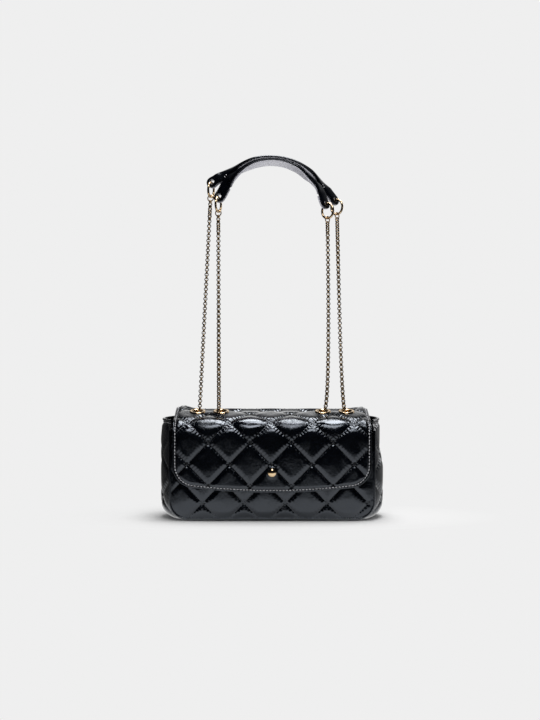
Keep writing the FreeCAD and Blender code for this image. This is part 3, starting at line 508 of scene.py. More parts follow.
def spread(tree, source, low, high, out_low, out_high):
    inputs = {"Value": source, "From Min": low, "From Max": high, "To Min": out_low, "To Max": out_high}
    return add_node(tree, "MapRange", inputs).outputs["Result"]


def worked_out(tree, operation, first, *others):
    """One sum over all the values."""
    for other in others:
        first = add_node(tree, "Math", {0: first, 1: other}, operation=operation).outputs[0]
    return first


def relief(tree, height, strength, distance):
    inputs = {"Height": height, "Strength": strength, "Distance": distance}
    return add_node(tree, "Bump", inputs).outputs["Normal"]


def tint(tree, share, dark, pale, low=0.0, high=1.0):
    """Colour from dark to pale as a share goes from low to high."""
    ramp = add_node(tree, "ValToRGB", {"Fac": share})
    for stop, place, colour in zip(ramp.color_ramp.elements, (low, high), (dark, pale)):
        stop.position = place
        stop.color = (*colour, 1)
    return ramp.outputs["Color"]


def either(tree, share, first, second):
    """The second look for the rays that the share picks, and the first for the others."""
    return add_node(tree, "MixShader", {0: share, 1: first, 2: second}).outputs[0]


def patent_leather(name, crinkle, roughness):
    """Black leather with a glossy coat that has crinkled a little."""
    material, tree, base = shader(name)
    worn = spread(tree, object_noise(tree, 45, 3), 0.35, 0.7, roughness - 0.05, roughness + 0.09)
    off_crease = worked_out(tree, "SUBTRACT", object_noise(tree, 520, 2, 0.5, 1.4), 0.5)
    off_crease = add_node(tree, "Math", {0: off_crease}, operation="ABSOLUTE").outputs[0]
    creases = spread(tree, off_crease, 0.0, 0.13, 0.0, 1.0)
    waves = spread(tree, object_noise(tree, 300, 1.5, 0.5, 0.6), 0.25, 0.75, 0.0, 1.6)
    patches = spread(tree, object_noise(tree, 60, 2), 0.42, 0.62, 0.2, 1.0)
    height = worked_out(tree, "MULTIPLY", worked_out(tree, "ADD", creases, waves), patches)
    normal = relief(tree, height, 1.0, crinkle)
    fill(tree, base, {"Base Color": (0.0011, 0.0016, 0.0030, 1), "Specular Tint": (0.70, 0.82, 1.0, 1),
                      "IOR": 1.5, "Coat Weight": 0.6, "Coat Roughness": 0.07, "Roughness": worn,
                      "Normal": normal, "Coat Normal": normal})
    return material


def smooth_leather(name, shade, roughness):
    """Plain lining leather with a fine grain."""
    material, tree, base = shader(name)
    worn = spread(tree, object_noise(tree, 160, 3), 0.3, 0.7, roughness - 0.04, roughness + 0.06)
    fill(tree, base, {"Base Color": (shade, shade, shade * 1.1, 1), "Roughness": worn,
                      "Normal": relief(tree, object_noise(tree, 1500, 2), 0.1, 0.0001)})
    return material


def pale_gold(name, roughness, shade=1.0):
    """Polished plating with faint wear; a shade below one darkens it all as painted shade."""
    material, tree, base = shader(name)
    wear = object_noise(tree, 220, 3)
    dark, pale = np.array([(0.70, 0.50, 0.29), (0.88, 0.68, 0.44)]) * shade
    fill(tree, base, {"Metallic": 1.0, "Base Color": tint(tree, wear, dark, pale, 0.3, 0.7),
                      "Roughness": spread(tree, wear, 0.3, 0.7, roughness, roughness + 0.1)})
    return material


def sewing_thread(name, shade):
    """Bonded thread with a twist; a pale shade is painted glint, standing in for highlights on black thread.
    """
    material, tree, base = shader(name)
    dark, pale = np.array([(0.7, 0.7, 0.75), (1.3, 1.3, 1.35)]) * shade
    fill(tree, base, {"Base Color": tint(tree, object_noise(tree, 2500, 1), dark, pale), "Roughness": 0.32})
    return material


def woven_lining(name):
    """Dark twill of the inner bag."""
    material, tree, base = shader(name)
    weave = add_node(tree, "TexWave", {"Vector": object_place(tree), "Scale": 420, "Distortion": 0.4},
                     wave_type="BANDS", bands_direction="DIAGONAL").outputs["Fac"]
    fill(tree, base, {"Base Color": tint(tree, weave, (0.014, 0.014, 0.016), (0.035, 0.035, 0.04)),
                      "Roughness": 0.8, "Normal": relief(tree, weave, 0.3, 0.0002)})
    return material


LEATHER = patent_leather("crinkled_patent_leather", 0.000045, 0.15)
TRIM_LEATHER = patent_leather("trim_leather", 0.00002, 0.22)
HANDLE_LEATHER = patent_leather("handle_leather", 0.000015, 0.17)
LINING_LEATHER = smooth_leather("lining_leather", 0.012, 0.42)
STRIP_LEATHER = smooth_leather("strip_leather", 0.62, 0.4)
GOLD = pale_gold("pale_gold", 0.1)
# Darker copy of the same plating: painted shade for the dark room mirrored in the thin chain links.
SHADED_CHAIN_GOLD = pale_gold("chain_gold_painted_shade", 0.1, 0.45)
SNAP_METAL = pale_gold("snap_metal", 0.3)
QUILT_THREAD = sewing_thread("quilting_thread", 0.03)
# Pale grey thread: its light colour is painted glint, standing in for the highlights on the black topstitch
# thread.
GLINT_PAINTED_THREAD = sewing_thread("topstitch_thread_painted_glint", 0.55)
LINING_CLOTH = woven_lining("lining_twill")


# Sheets, made flat: x and y along the sheet, z the height of the padding
def foot_outline(half, low, high, corner, sag=0.0, arc_steps=9, flat_steps=8):
    """Convex outline with rounded lower corners and a lower edge that may sag in the middle."""
    turns = np.linspace(0, math.pi / 2, arc_steps)
    flat = half - corner
    rise = low + sag
    left = [(-flat - corner * math.cos(a), rise + corner - corner * math.sin(a)) for a in turns]
    hem = [(x, low + sag * (x / flat) ** 2) for x in np.linspace(-flat, flat, flat_steps + 1)[1:-1]]
    right = [(-x, y) for x, y in reversed(left)]
    return np.array([(-half, high)] + left + hem + right + [(half, high)])


def band_outline(half_length, half_width):
    return np.array([(-half_length, half_width), (-half_length, -half_width),
                     (half_length, -half_width), (half_length, half_width)])


def edge_distance(places, outline, skip_top):
    """Distance of flat points from an outline, with or without its closing top edge."""
    starts = outline[:-1] if skip_top else outline
    ends = outline[1:] if skip_top else np.roll(outline, -1, axis=0)
    best = np.full(len(places), 1.0)
    for start, end in zip(starts, ends):
        along = end - start
        share = np.clip(((places[:, :2] - start) @ along) / (along @ along), 0, 1)
        best = np.minimum(best, np.hypot(*(places[:, :2] - start - share[:, None] * along).T))
    return best


def inside_of(places, outline):
    inside = np.ones(len(places), dtype=bool)
    for start, end in zip(outline, np.roll(outline, -1, axis=0)):
        along, away = end - start, places - start
        inside &= along[0] * away[:, 1] - along[1] * away[:, 0] > 0
    return inside


def trim(piece, outline):
    """Cut a flat sheet along a convex outline."""
    with editing(piece):
        for start, end in zip(outline, np.roll(outline, -1, axis=0)):
            inward = Vector((start[1] - end[1], end[0] - start[0], 0)).normalized()
            bpy.ops.mesh.select_all(action="SELECT")
            bpy.ops.mesh.bisect(plane_co=(start[0], start[1], 0), plane_no=inward, clear_inner=True,
                                threshold=1e-6)


def plain_sheet(name, outline, across, up):
    """Thin flat sheet cut to an outline."""
    low, high = outline.min(axis=0), outline.max(axis=0)
    deselect()
    bpy.ops.mesh.primitive_grid_add(x_subdivisions=across, y_subdivisions=up, size=1)
    sheet = rename(bpy.context.object, name)
    places = points_of(sheet)
    places[:, :2] = (low + high) / 2 + places[:, :2] * (high - low)
    move_points(sheet, places)
    trim(sheet, outline)
    face_up(sheet)
    return sheet


def wrap(piece, form):
    """Lay a flat piece on the form that gives it its shape."""
    move_points(piece, form(*points_of(piece).T))


def lay_on(sheet, form, thickness):
    """Lay a flat sheet on its form and give it a thickness."""
    wrap(sheet, form)
    apply_modifier(sheet, "SOLIDIFY", thickness=thickness, offset=-1.0, use_even_offset=False)
    smooth_shade(sheet)


def pierce(sheet, holes):
    """Open a flat sheet where a piece of hardware goes through."""
    with editing(sheet):
        bpy.ops.mesh.select_mode(type="FACE")
        bpy.ops.mesh.select_all(action="DESELECT")
    for polygon in sheet.data.polygons:
        centre = polygon.center
        polygon.select = any(math.hypot(centre.x - x, centre.y - y) < radius for (x, y), radius in holes)
    bpy.ops.object.mode_set(mode="EDIT")
    bpy.ops.mesh.delete(type="FACE")
    bpy.ops.mesh.select_mode(type="VERT")
    bpy.ops.object.mode_set(mode="OBJECT")


# Quilting of such a sheet: a quilt is one crossing of its stitch lines and the size of its diamonds
def lattice_of(places, quilt):
    """Count of stitch lines passed along the two diagonals."""
    crossing, pitch = quilt
    across = (places[:, 0] - crossing[0]) / pitch[0]
    up = (places[:, 1] - crossing[1]) / pitch[1]
    return (across + up) / 2, (across - up) / 2


def lattice_places(first, second, quilt):
    """Flat places of such counts."""
    crossing, pitch = quilt
    across = crossing[0] + (first + second) * pitch[0]
    up = crossing[1] + (first - second) * pitch[1]
    return np.stack([across, up], axis=1)


def quilted_sheet(name, outline, quilt, rounded_from=1.0):
    """Leather over foam, sewn in diamonds along a grid that follows the stitch lines."""
    crossing, pitch = np.array(quilt)
    low, high = outline.min(axis=0), outline.max(axis=0)
    cells = 2 * math.ceil(((high - low) / pitch).sum() / 4 + 1)
    across, up = ((low + high) / 2 - crossing) / pitch / 2
    deselect()
    bpy.ops.mesh.primitive_grid_add(x_subdivisions=cells * GRID_STEPS, y_subdivisions=cells * GRID_STEPS,
                                    size=cells)
    sheet = rename(bpy.context.object, name)
    places = points_of(sheet)
    first, second = places[:, 0] + round(across + up), places[:, 1] + round(across - up)
    places[:, :2] = lattice_places(first, second, quilt)
    move_points(sheet, places)
    trim(sheet, outline)
    places = points_of(sheet)
    first, second = lattice_of(places, quilt)
    border = edge_distance(places, outline, False) < 1e-5
    pillow = np.abs(np.sin(np.pi * first) * np.sin(np.pi * second)) ** PUFF_POWER
    places[:, 2] = PUFF_START * pillow * ~border
    move_points(sheet, places)
    with editing(sheet):
        bpy.ops.mesh.normals_make_consistent(inside=False)
    face_up(sheet)
    off_line = np.minimum(np.abs(first - np.round(first)), np.abs(second - np.round(second)))
    fill_with_foam(sheet, np.nonzero((off_line < 0.2 / GRID_STEPS) | border)[0])
    apply_modifier(sheet, "SUBSURF", levels=1, render_levels=1, boundary_smooth="PRESERVE_CORNERS")
    pucker(sheet, quilt, rounded_from)
    return sheet


def fill_with_foam(sheet, held):
    """Let the padding press the leather up between the stitch lines."""
    group = sheet.vertex_groups.new(name="stitched")
    group.add([int(index) for index in held], 1.0, "REPLACE")
    cloth = sheet.modifiers.new("Cloth", "CLOTH")
    leather = {"quality": 6, "mass": 0.15, "air_damping": 2.0, "tension_stiffness": 15,
               "compression_stiffness": 15, "shear_stiffness": 10, "bending_stiffness": 1.5,
               "vertex_group_mass": group.name, "shrink_min": -0.022, "use_pressure": True,
               "uniform_pressure_force": 45}
    for name, value in leather.items():
        setattr(cloth.settings, name, value)
    cloth.settings.effector_weights.gravity = 0
    cloth.collision_settings.use_collision = False
    for step in range(1, CLOTH_FRAMES + 1):
        bpy.context.scene.frame_set(step)
    make_active(sheet)
    bpy.ops.object.modifier_apply(modifier=cloth.name)
    bpy.context.scene.frame_set(1)
    sheet.vertex_groups.clear()


def pucker(sheet, quilt, rounded_from):
    """Flat tops where the foam ends, and small regular dips where the thread pulls the leather down."""
    places = points_of(sheet)
    filled = PUFF_HEIGHT * np.tanh(1.4 * places[:, 2] / PUFF_HEIGHT)
    first, second = lattice_of(places, quilt)
    width, height = quilt[1]
    spacing = 2 * width * height / math.hypot(width, height)
    off_lines = [np.abs(line - np.round(line)) * spacing for line in (first, second)]
    rounded = smoothstep(rounded_from - 0.012, rounded_from + 0.004, places[:, 1])
    shoulder = SHOULDER + (ROUND_SHOULDER - SHOULDER) * rounded
    sides = [1 - (1 - np.minimum(off / shoulder, 1)) ** 2 for off in off_lines]
    places[:, 2] = FOAM_SHARE * filled + (1 - FOAM_SHARE) * PUFF_HEIGHT * sides[0] * sides[1]
    places[:, 2] += DOME * np.abs(np.sin(np.pi * first) * np.sin(np.pi * second))
    places[:, 2] += LUMPS * mean_noise(places, 60, 4.0) * sides[0] * sides[1]
    for along, off in ((first, off_lines[1]), (second, off_lines[0])):
        wave = np.cos(2 * np.pi * along * STITCHES_A_SIDE + 0.8 * np.sin(2 * np.pi * along * 1.3))
        places[:, 2] += PUCKER * wave * (off / PUCKER_WIDTH) * np.exp(1 - off / PUCKER_WIDTH)
    move_points(sheet, places)


def stitch_rows(outline, quilt, inset, skip_top, holes=()):
    """Flat places and directions of the quilting stitches."""
    low, high = outline.min(axis=0), outline.max(axis=0)
    corners = np.array([(x, y) for x in (low[0], high[0]) for y in (low[1], high[1])])
    counts = np.array(lattice_of(corners, quilt))
    reach = range(math.floor(counts.min()), math.ceil(counts.max()) + 1)
    steps = (np.arange(STITCHES_A_SIDE) + 0.5) / STITCHES_A_SIDE
    found = np.array([mark for line in reach for cell in reach for step in steps
                      for mark in ((cell + step, line, 1), (line, cell + step, -1))])
    places = lattice_places(found[:, 0], found[:, 1], quilt)
    inside = inside_of(places, outline) & (edge_distance(places, outline, skip_top) > inset)
    for hole, radius in holes:
        inside &= np.hypot(*(places - hole).T) > radius
    width, height = quilt[1]
    angles = np.arctan2(found[:, 2] * height, width)
    return places[inside], angles[inside]


def outline_rows(outline, inset, pitch):
    """Places and directions of a row of stitches that follows an outline at an inset."""
    length = knots_of(outline)[-1]
    marks = np.linspace(0, length, int(length / pitch), endpoint=False) + pitch / 2
    places, along = along_line(outline, marks, pitch / 2)
    inward = np.stack([-along[:, 1], along[:, 0]], axis=1)
    return places + inward * inset, np.arctan2(along[:, 1], along[:, 0])


def stitch_pattern(length, thickness):
    deselect()
    bpy.ops.mesh.primitive_ico_sphere_add(subdivisions=1, radius=1)
    return pattern_of(bpy.context.object, (length / 2, thickness / 2, thickness / 2))


def sewn(name, sheet, rows, stitch):
    """Separate stitches, set along their rows on a flat sheet."""
    places, angles = rows
    length, thickness, lift = stitch
    flat = points_of(sheet)
    tree = kdtree.KDTree(len(flat))
    for index, place in enumerate(flat):
        tree.insert((place[0], place[1], 0), index)
    tree.balance()
    heights = [flat[tree.find((x, y, 0))[1], 2] + lift for x, y in places]
    turns = [Matrix.Rotation(angle, 3, "Z") for angle in angles]
    return copies(name, stitch_pattern(length, thickness), np.column_stack([places, heights]), turns)


def level_out(places, level, kept):
    """Bring the padding to a level, apart from the share of it that is kept."""
    places[:, 2] = level * (1 - kept) + places[:, 2] * kept


def press_flat(places, middle, radius, level, fade=SEAT_FADE):
    """Level a padded sheet where hardware sits on it."""
    away = np.hypot(places[:, 0] - middle[0], places[:, 1] - middle[1])
    level_out(places, level, smoothstep(radius, radius + fade, away))


def turn_hem(places, edge, width, fade):
    """Turned edge, rounded up to its stitches, before the padding starts."""
    hem = HEM_BASE + HEM_RISE * np.sin(np.pi * np.clip(edge / width, 0, 1)) ** 0.7
    level_out(places, hem, smoothstep(width, width * fade, edge))


def finish_quilted(sheet, form, body, rows, thickness, replaced):
    """Wrap a quilted sheet and its rows of stitches, and dress them."""
    for piece, thread in rows:
        wrap(piece, form)
        dress(piece, body, thread)
    lay_on(sheet, form, thickness)
    dress(sheet, body, LEATHER, replaced)


# Form of the flap: from its fold over the top and down the front
BACK_CENTRE = (FLAP_HIGH.y - BACK_ROLL, HINGE.z)
ROLL_CHANGE = BACK_ROLL - FRONT_ROLL
ROLL_SPACING = BACK_CENTRE[0] - FLAP_FRONT - FRONT_ROLL
FRONT_CENTRE = (FLAP_FRONT + FRONT_ROLL, HINGE.z + (ROLL_CHANGE - ROLL_SPACING * SLOPE_RISE) / SLOPE_RUN)
TOP_RUN = math.hypot(ROLL_SPACING - ROLL_CHANGE * SLOPE_RISE,
                     BACK_CENTRE[1] - FRONT_CENTRE[1] + ROLL_CHANGE * SLOPE_RUN)
BACK_TURN = math.pi / 2 + TOP_SLOPE
ROLL_END = (BACK_ROLL - FLAP_MIDDLE_DEPTH) * BACK_TURN
TOP_END = ROLL_END + TOP_RUN
FRONT_START = TOP_END + (FRONT_ROLL - FLAP_MIDDLE_DEPTH) * (math.pi - BACK_TURN)
FLAP_LENGTH = FRONT_START + FRONT_CENTRE[1] - FLAP_BASE
EYELET_RUN = ROLL_END + (BACK_CENTRE[0] - BACK_ROLL * SLOPE_RISE - EYELET_ROW) / SLOPE_RUN
TOP_AXIS = (0, -SLOPE_RISE, SLOPE_RUN)
DIP_SIDES = (FLAP_HALF - 0.006, FLAP_HALF - 0.028)  # where the dip starts and where it is full
DIP_BACK = (FOLD_COVER, FOLD_COVER + 0.012)
DIP_FRONT = (EYELET_RUN - 0.002, 0.026)
DROOP_BACK = (0.002, 0.016)
DROOP_FRONT = (FRONT_START + 0.006, TOP_END - 0.006)
RISE_SIDE = (-FLAP_HALF + 0.022, -FLAP_HALF + 0.008)
RISE_BACK = (0.004, 0.02)
RISE_FRONT = (EYELET_RUN + 0.012, 0.026)


def droop_at(x):
    """Share of the sag at the flap's sides."""
    return smoothstep(FLAP_HALF - DROOP_WIDTH, FLAP_HALF + 0.002, np.abs(x)) ** 1.5


def over_roll(centre, radius, angle, onward):
    """Depth and height of places on a roll, or onward on the slope that meets it."""
    return np.stack([centre[0] + radius * np.cos(angle) + onward * SLOPE_RUN,
                     centre[1] + radius * np.sin(angle) + onward * SLOPE_RISE])


def flap_form(x, y, height):
    """Flat flap to its place: y runs down from 0 at the fold, height rises from the stitch lines."""
    run = -y
    depth = FLAP_VALLEY - height
    back_angle = np.clip(run / (BACK_ROLL - FLAP_MIDDLE_DEPTH), 0, BACK_TURN)
    top = np.clip(run - ROLL_END, 0, TOP_RUN)
    front_angle = np.clip((run - TOP_END) / (FRONT_ROLL - FLAP_MIDDLE_DEPTH), 0, math.pi - BACK_TURN)
    front_angle += BACK_TURN
    down = np.maximum(run - FRONT_START, 0)
    on_back = run < ROLL_END + TOP_RUN / 2
    back = over_roll(BACK_CENTRE, BACK_ROLL - depth, back_angle, -top)
    front = over_roll(FRONT_CENTRE, FRONT_ROLL - depth, front_angle, TOP_RUN - top)
    place_y, place_z = np.where(on_back, back, front)
    dip = smoothstep(*DIP_SIDES, np.abs(x)) * smoothstep(*DIP_BACK, run) * smoothstep(*DIP_FRONT, run)
    droop = droop_at(x) * smoothstep(*DROOP_BACK, run) * smoothstep(*DROOP_FRONT, run)
    rise = smoothstep(*RISE_SIDE, x) * smoothstep(*RISE_BACK, run) * smoothstep(*RISE_FRONT, run)
    place_z += LEFT_RISE * rise - TOP_DIP * dip - EDGE_DROOP * droop - down
    return np.stack([x, place_y, place_z], axis=1)


def front_to_flap(z):
    """Flat height on the flap of a height on its upright front."""
    return -(FRONT_START + FRONT_CENTRE[1] - z)


def make_flap():
    outline = foot_outline(FLAP_HALF, -FLAP_LENGTH, 0.0, FLAP_CORNER, FLAP_SAG, flat_steps=12)
    quilt = ((FLAP_CROSSING[0], front_to_flap(FLAP_CROSSING[1])), DIAMOND)
    seats = [(middle_of("eyelet_" + name).x, -EYELET_RUN) for name in STRANDS]
    stud = (0.0, front_to_flap(middle_of("front_stud_cap").z))
    sheet = quilted_sheet("flap_leather", outline, quilt, -FRONT_START)
    places = points_of(sheet)
    level_out(places, FOLD_HEIGHT, smoothstep(FOLD_COVER, FOLD_COVER + FOLD_FADE, -places[:, 1]))
    turn_hem(places, edge_distance(places, outline, True), HEM_WIDTH, HEM_FADE)
    for seat in seats:
        press_flat(places, seat, EYELET_FLANGE - 0.0005, FLAP_SEAT)
    press_flat(places, stud, STUD_RADIUS, FLAP_SEAT, STUD_FADE)
    move_points(sheet, places)
    pierce(sheet, [(seat, EYELET_BORE) for seat in seats])
    bare = [(seat, EYELET_FLANGE + STITCH_CLEARANCE) for seat in seats]
    bare.append((stud, STUD_RADIUS + STITCH_CLEARANCE))
    rows = stitch_rows(outline, quilt, HEM_WIDTH + STITCH_CLEARANCE, True, bare)
    quilting = sewn("flap_quilting", sheet, rows, QUILT_STITCH)
    topstitch = sewn("flap_topstitch", sheet, outline_rows(outline, HEM_WIDTH, HEM_PITCH), HEM_STITCH)
    rows = [(quilting, QUILT_THREAD), (topstitch, GLINT_PAINTED_THREAD)]
    finish_quilted(sheet, flap_form, "flap", rows, PANEL_SKIN, ("flap", "flap_padding"))
    edge, _ = outline_rows(outline, LIP_INSET, LIP_STEP)
    lip = tube("flap_edge", flap_form(*edge.T, np.full(len(edge), LIP_HEIGHT)), LIP_RADIUS)
    dress(lip, "flap", TRIM_LEATHER)
    outline = foot_outline(FLAP_HALF - LINING_INSET, -FLAP_LENGTH + LINING_INSET, 0.0, FLAP_CORNER, FLAP_SAG,
                           flat_steps=12)
    lining = plain_sheet("flap_lining_leather", outline, 48, 60)
    places = points_of(lining)
    places[:, 2] = FLAP_VALLEY - FLAP_LINING_DEPTH
    move_points(lining, places)
    lay_on(lining, flap_form, FLAP_LINING_SKIN)
    dress(lining, "flap", LINING_LEATHER, ("flap_lining",))


# Front and back panels
def front_form(x, z, height):
    lean = TOP_LEAN * smoothstep(FRONT_HIGH.z - LEAN_HEIGHT, FRONT_HIGH.z, z)
    return np.stack([x, FRONT_LOW.y + PANEL_VALLEY + lean - height, z], axis=1)


def back_form(x, z, height):
    return np.stack([-x, BACK_HIGH.y - PANEL_VALLEY + height, z], axis=1)


def press_front(places, edge):
    """The flap and the snap press the front's padding; below the flap it swells."""
    covered = smoothstep(*COVERED, places[:, 1])
    places[:, 2] *= 1 - PRESSED_SHARE * covered
    places[:, 2] += LOWER_SWELL * (1 - covered) * smoothstep(0, SWELL_FADE, edge)
    socket = middle_of("snap_socket")
    press_flat(places, (socket.x, socket.z), SNAP_RADIUS, SNAP_SEAT)


def press_back(places, _):
    """The joining strip presses the padding at the top of the back."""
    start = FOLD_LOW - 0.001
    level_out(places, FOLD_HEIGHT, smoothstep(start, start - FOLD_FADE, places[:, 1]))


def make_panel(name, low, high, quilt, form, press, bare=()):
    outline = foot_outline(PANEL_HALF, low.z, high.z, PANEL_CORNER)
    sheet = quilted_sheet(name + "_leather", outline, quilt)
    places = points_of(sheet)
    edge = edge_distance(places, outline, True)
    places[:, 2] *= smoothstep(-0.001, SEAM_FADE, edge)
    press(places, edge)
    move_points(sheet, places)
    rows = stitch_rows(outline, quilt, STITCH_CLEARANCE, False, bare)
    quilting = sewn(name + "_quilting", sheet, rows, QUILT_STITCH)
    finish_quilted(sheet, form, "bag", [(quilting, QUILT_THREAD)], PANEL_SKIN,
                   (name + "_panel", name + "_padding"))


def make_panels():
    socket = middle_of("snap_socket")
    make_panel("front", FRONT_LOW, FRONT_HIGH, FRONT_QUILT, front_form, press_front,
               [((socket.x, socket.z), SNAP_RADIUS + STITCH_CLEARANCE)])
    make_panel("back", BACK_LOW, BACK_HIGH, BACK_QUILT, back_form, press_back)


# Strip that joins the back to the flap
def strip_tuck(x, z):
    """How far the ends of the joining strip bend in to the side seams."""
    at_end = smoothstep(FLAP_HALF - FOLD_TUCK_WIDTH, FLAP_HALF, abs(x))
    return FOLD_TUCK * float(at_end * smoothstep(HINGE.z, FOLD_LOW, z))


def make_fold():
    """Leather strip that joins the back to the flap."""
    outer = BACK_ROLL + FOLD_PROUD
    inner = outer - FOLD_THICKNESS
    turns = np.linspace(0, FOLD_TURN, 9)
    face = BACK_CENTRE[0] + outer
    section = [(face - 0.0009, FOLD_LOW - 0.0004), (face - 0.0003, FOLD_LOW - 0.0004), (face, FOLD_LOW)]
    section += [(face, z) for z in np.linspace(FOLD_LOW + 0.003, HINGE.z - 0.001, 6)]
    section += [*over_roll(BACK_CENTRE, outer, turns, 0).T, *over_roll(BACK_CENTRE, inner, turns[::-1], 0).T]
    section += [(face - FOLD_THICKNESS, z) for z in np.linspace(HINGE.z - 0.001, FOLD_LOW, 6)]
    stations = np.linspace(-FLAP_HALF + 0.001, FLAP_HALF - 0.001, 61)
    rings = [[(x, y - strip_tuck(x, z), z - EDGE_DROOP * droop_at(x) * max(z - HINGE.z, 0) / BACK_ROLL)
              for y, z in section] for x in stations]
    strip = loft("back_fold", rings)
    smooth_shade(strip, 0.9)
    strip.data.materials.append(TRIM_LEATHER)
    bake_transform(strip)
    xs = np.arange(-FLAP_HALF + 0.004, FLAP_HALF - 0.004, STITCH_PITCH)
    length, thickness, lift = FOLD_STITCH
    low = [(x, face + lift - strip_tuck(x, FOLD_LOW), FOLD_LOW + FOLD_STITCH_INSET) for x in xs]
    angle = FOLD_TURN - FOLD_STITCH_INSET / outer
    y, z = over_roll(BACK_CENTRE, outer + lift, angle, 0)
    high = [(x, y, z - EDGE_DROOP * droop_at(x) * math.sin(angle)) for x in xs]
    for name, places, body in (("lower", low, "bag"), ("upper", high, "flap")):
        stitches = copies("back_fold_" + name + "_stitches", stitch_pattern(length, thickness), places)
        dress(stitches, body, GLINT_PAINTED_THREAD)


# Gusset: one strip down a side, along the bottom and up the other side
BOTTOM_RUN = GUSSET_MID_HALF - GUSSET_CORNER
CORNER_RUN = GUSSET_CORNER * math.pi / 2
GUSSET_RUN = BOTTOM_RUN + CORNER_RUN + GUSSET_TOP - GUSSET_CORNER


def gusset_half(depth):
    return GUSSET_MID_HALF - (GUSSET_MID_HALF - GUSSET_EDGE_HALF) * (depth / GUSSET_HALF_DEPTH) ** 2


def pinch_at(side, depth, z):
    """How far the soft sides are drawn in below the mouth."""
    drawn = np.where(side > 0, RIGHT_PINCH * smoothstep(*RIGHT_PINCH_HEIGHTS, z),
                     LEFT_PINCH * smoothstep(*LEFT_PINCH_HEIGHTS, z))
    return drawn * np.maximum(1 - (depth / GUSSET_HALF_DEPTH) ** 2, 0)


def gusset_form(run, depth, height):
    """Flat strip to its place: run from the middle of the bottom, depth from back to front."""
    side, run = np.sign(run), np.abs(run)
    inset = GUSSET_VALLEY - height
    angle = np.clip((run - BOTTOM_RUN) / GUSSET_CORNER, 0, math.pi / 2)
    up = np.maximum(run - BOTTOM_RUN - CORNER_RUN, 0)
    inner = (gusset_half(depth) - GUSSET_CORNER) * np.clip(run / BOTTOM_RUN, 0, 1)
    x = inner + (GUSSET_CORNER - inset) * np.sin(angle)
    z = np.maximum(GUSSET_CORNER - (GUSSET_CORNER - inset) * np.cos(angle) + up, 0)
    return np.stack([side * (x - pinch_at(side, depth, z)), -depth, z], axis=1)


def make_gusset():
    half_width = GUSSET_HALF_DEPTH + SEAM_TUCK
    outline = band_outline(GUSSET_RUN, half_width)
    sheet = quilted_sheet("gusset_leather", outline, GUSSET_QUILT)
    places = points_of(sheet)
    level_out(places, SEAM_HEIGHT, smoothstep(0, SEAM_FADE, half_width - np.abs(places[:, 1])))
    turn_hem(places, GUSSET_RUN - np.abs(places[:, 0]), GUSSET_HEM, GUSSET_HEM_FADE)
    move_points(sheet, places)
    quilting = sewn("gusset_quilting", sheet, stitch_rows(outline, GUSSET_QUILT, 0.004, False), QUILT_STITCH)
    depths = np.arange(-GUSSET_HALF_DEPTH + 0.002, GUSSET_HALF_DEPTH - 0.001, STITCH_PITCH)
    places = np.array([(side * (GUSSET_RUN - GUSSET_HEM), depth) for side in (-1, 1) for depth in depths])
    topstitch = sewn("gusset_topstitch", sheet, (places, np.full(len(places), math.pi / 2)), RIM_STITCH)
    depths = np.linspace(-GUSSET_HALF_DEPTH, GUSSET_HALF_DEPTH, 31)
    for side, name in ((-1, "left"), (1, "right")):
        runs = np.full(len(depths), side * (GUSSET_RUN - RIM_INSET))
        rim = gusset_form(runs, depths, np.full(len(depths), LIP_HEIGHT))
        dress(tube("gusset_" + name + "_rim", rim, RIM_RADIUS), "bag", TRIM_LEATHER)
    rows = [(quilting, QUILT_THREAD), (topstitch, GLINT_PAINTED_THREAD)]
    finish_quilted(sheet, gusset_form, "bag", rows, GUSSET_SKIN, ("gusset",))


def make_piping():
    for name, low, high, side in (("front", FRONT_LOW, FRONT_HIGH, -1), ("back", BACK_LOW, BACK_HIGH, 1)):
        outline = foot_outline(PANEL_HALF + PIPING_OUT, low.z - PIPING_OUT, high.z, PANEL_CORNER + PIPING_OUT)
        places, _ = outline_rows(outline, 0.0, PIPING_STEP)
        points = np.column_stack([places[:, 0], np.full(len(places), side * PIPING_DEPTH), places[:, 1]])
        dress(tube(name + "_seam_piping", points, PIPING_RADIUS), "bag", TRIM_LEATHER,
              (name + "_piping",))


# Inside of the bag
def make_lining():
    """Sewn inner bag of twill: front, back and one strip round the sides and the bottom."""
    low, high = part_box("lining")
    half = GUSSET_EDGE_HALF - TWILL_EDGE
    pieces = []
    walls = (("front", front_form, FRONT_LOW.y, 3), ("back", back_form, -BACK_HIGH.y, 8))
    for name, form, inset, seed in walls:
        sheet = plain_sheet("lining_" + name, foot_outline(half, TWILL_EDGE, high.z, TWILL_CORNER), 60, 30)
        places = points_of(sheet)
        places[:, 2] = PANEL_VALLEY + inset - low.y - TWILL_SKIN
        places[:, 2] += TWILL_LUMPS * mean_noise(places, TWILL_LUMP_SCALE, seed)
        pieces.append((sheet, places, form))
    run = BOTTOM_RUN + CORNER_RUN + high.z - GUSSET_CORNER
    strip = plain_sheet("lining_strip", band_outline(run, GUSSET_HALF_DEPTH - TWILL_SIDE_GAP), 110, 20)
    places = points_of(strip)
    places[:, 2] = GUSSET_VALLEY - TWILL_DEPTH + TWILL_LUMPS * mean_noise(places, TWILL_LUMP_SCALE, 5)
    pieces.append((strip, places, gusset_form))
    for piece, places, form in pieces:
        move_points(piece, places)
        lay_on(piece, form, TWILL_SKIN)
    lining = pieces[0][0]
    make_active(lining)
    for piece, _, _ in pieces[1:]:
        piece.select_set(True)
    bpy.ops.object.join()
    rename(lining, "lining_twill_bag")
    dress(lining, "bag", LINING_CLOTH, ("lining",))


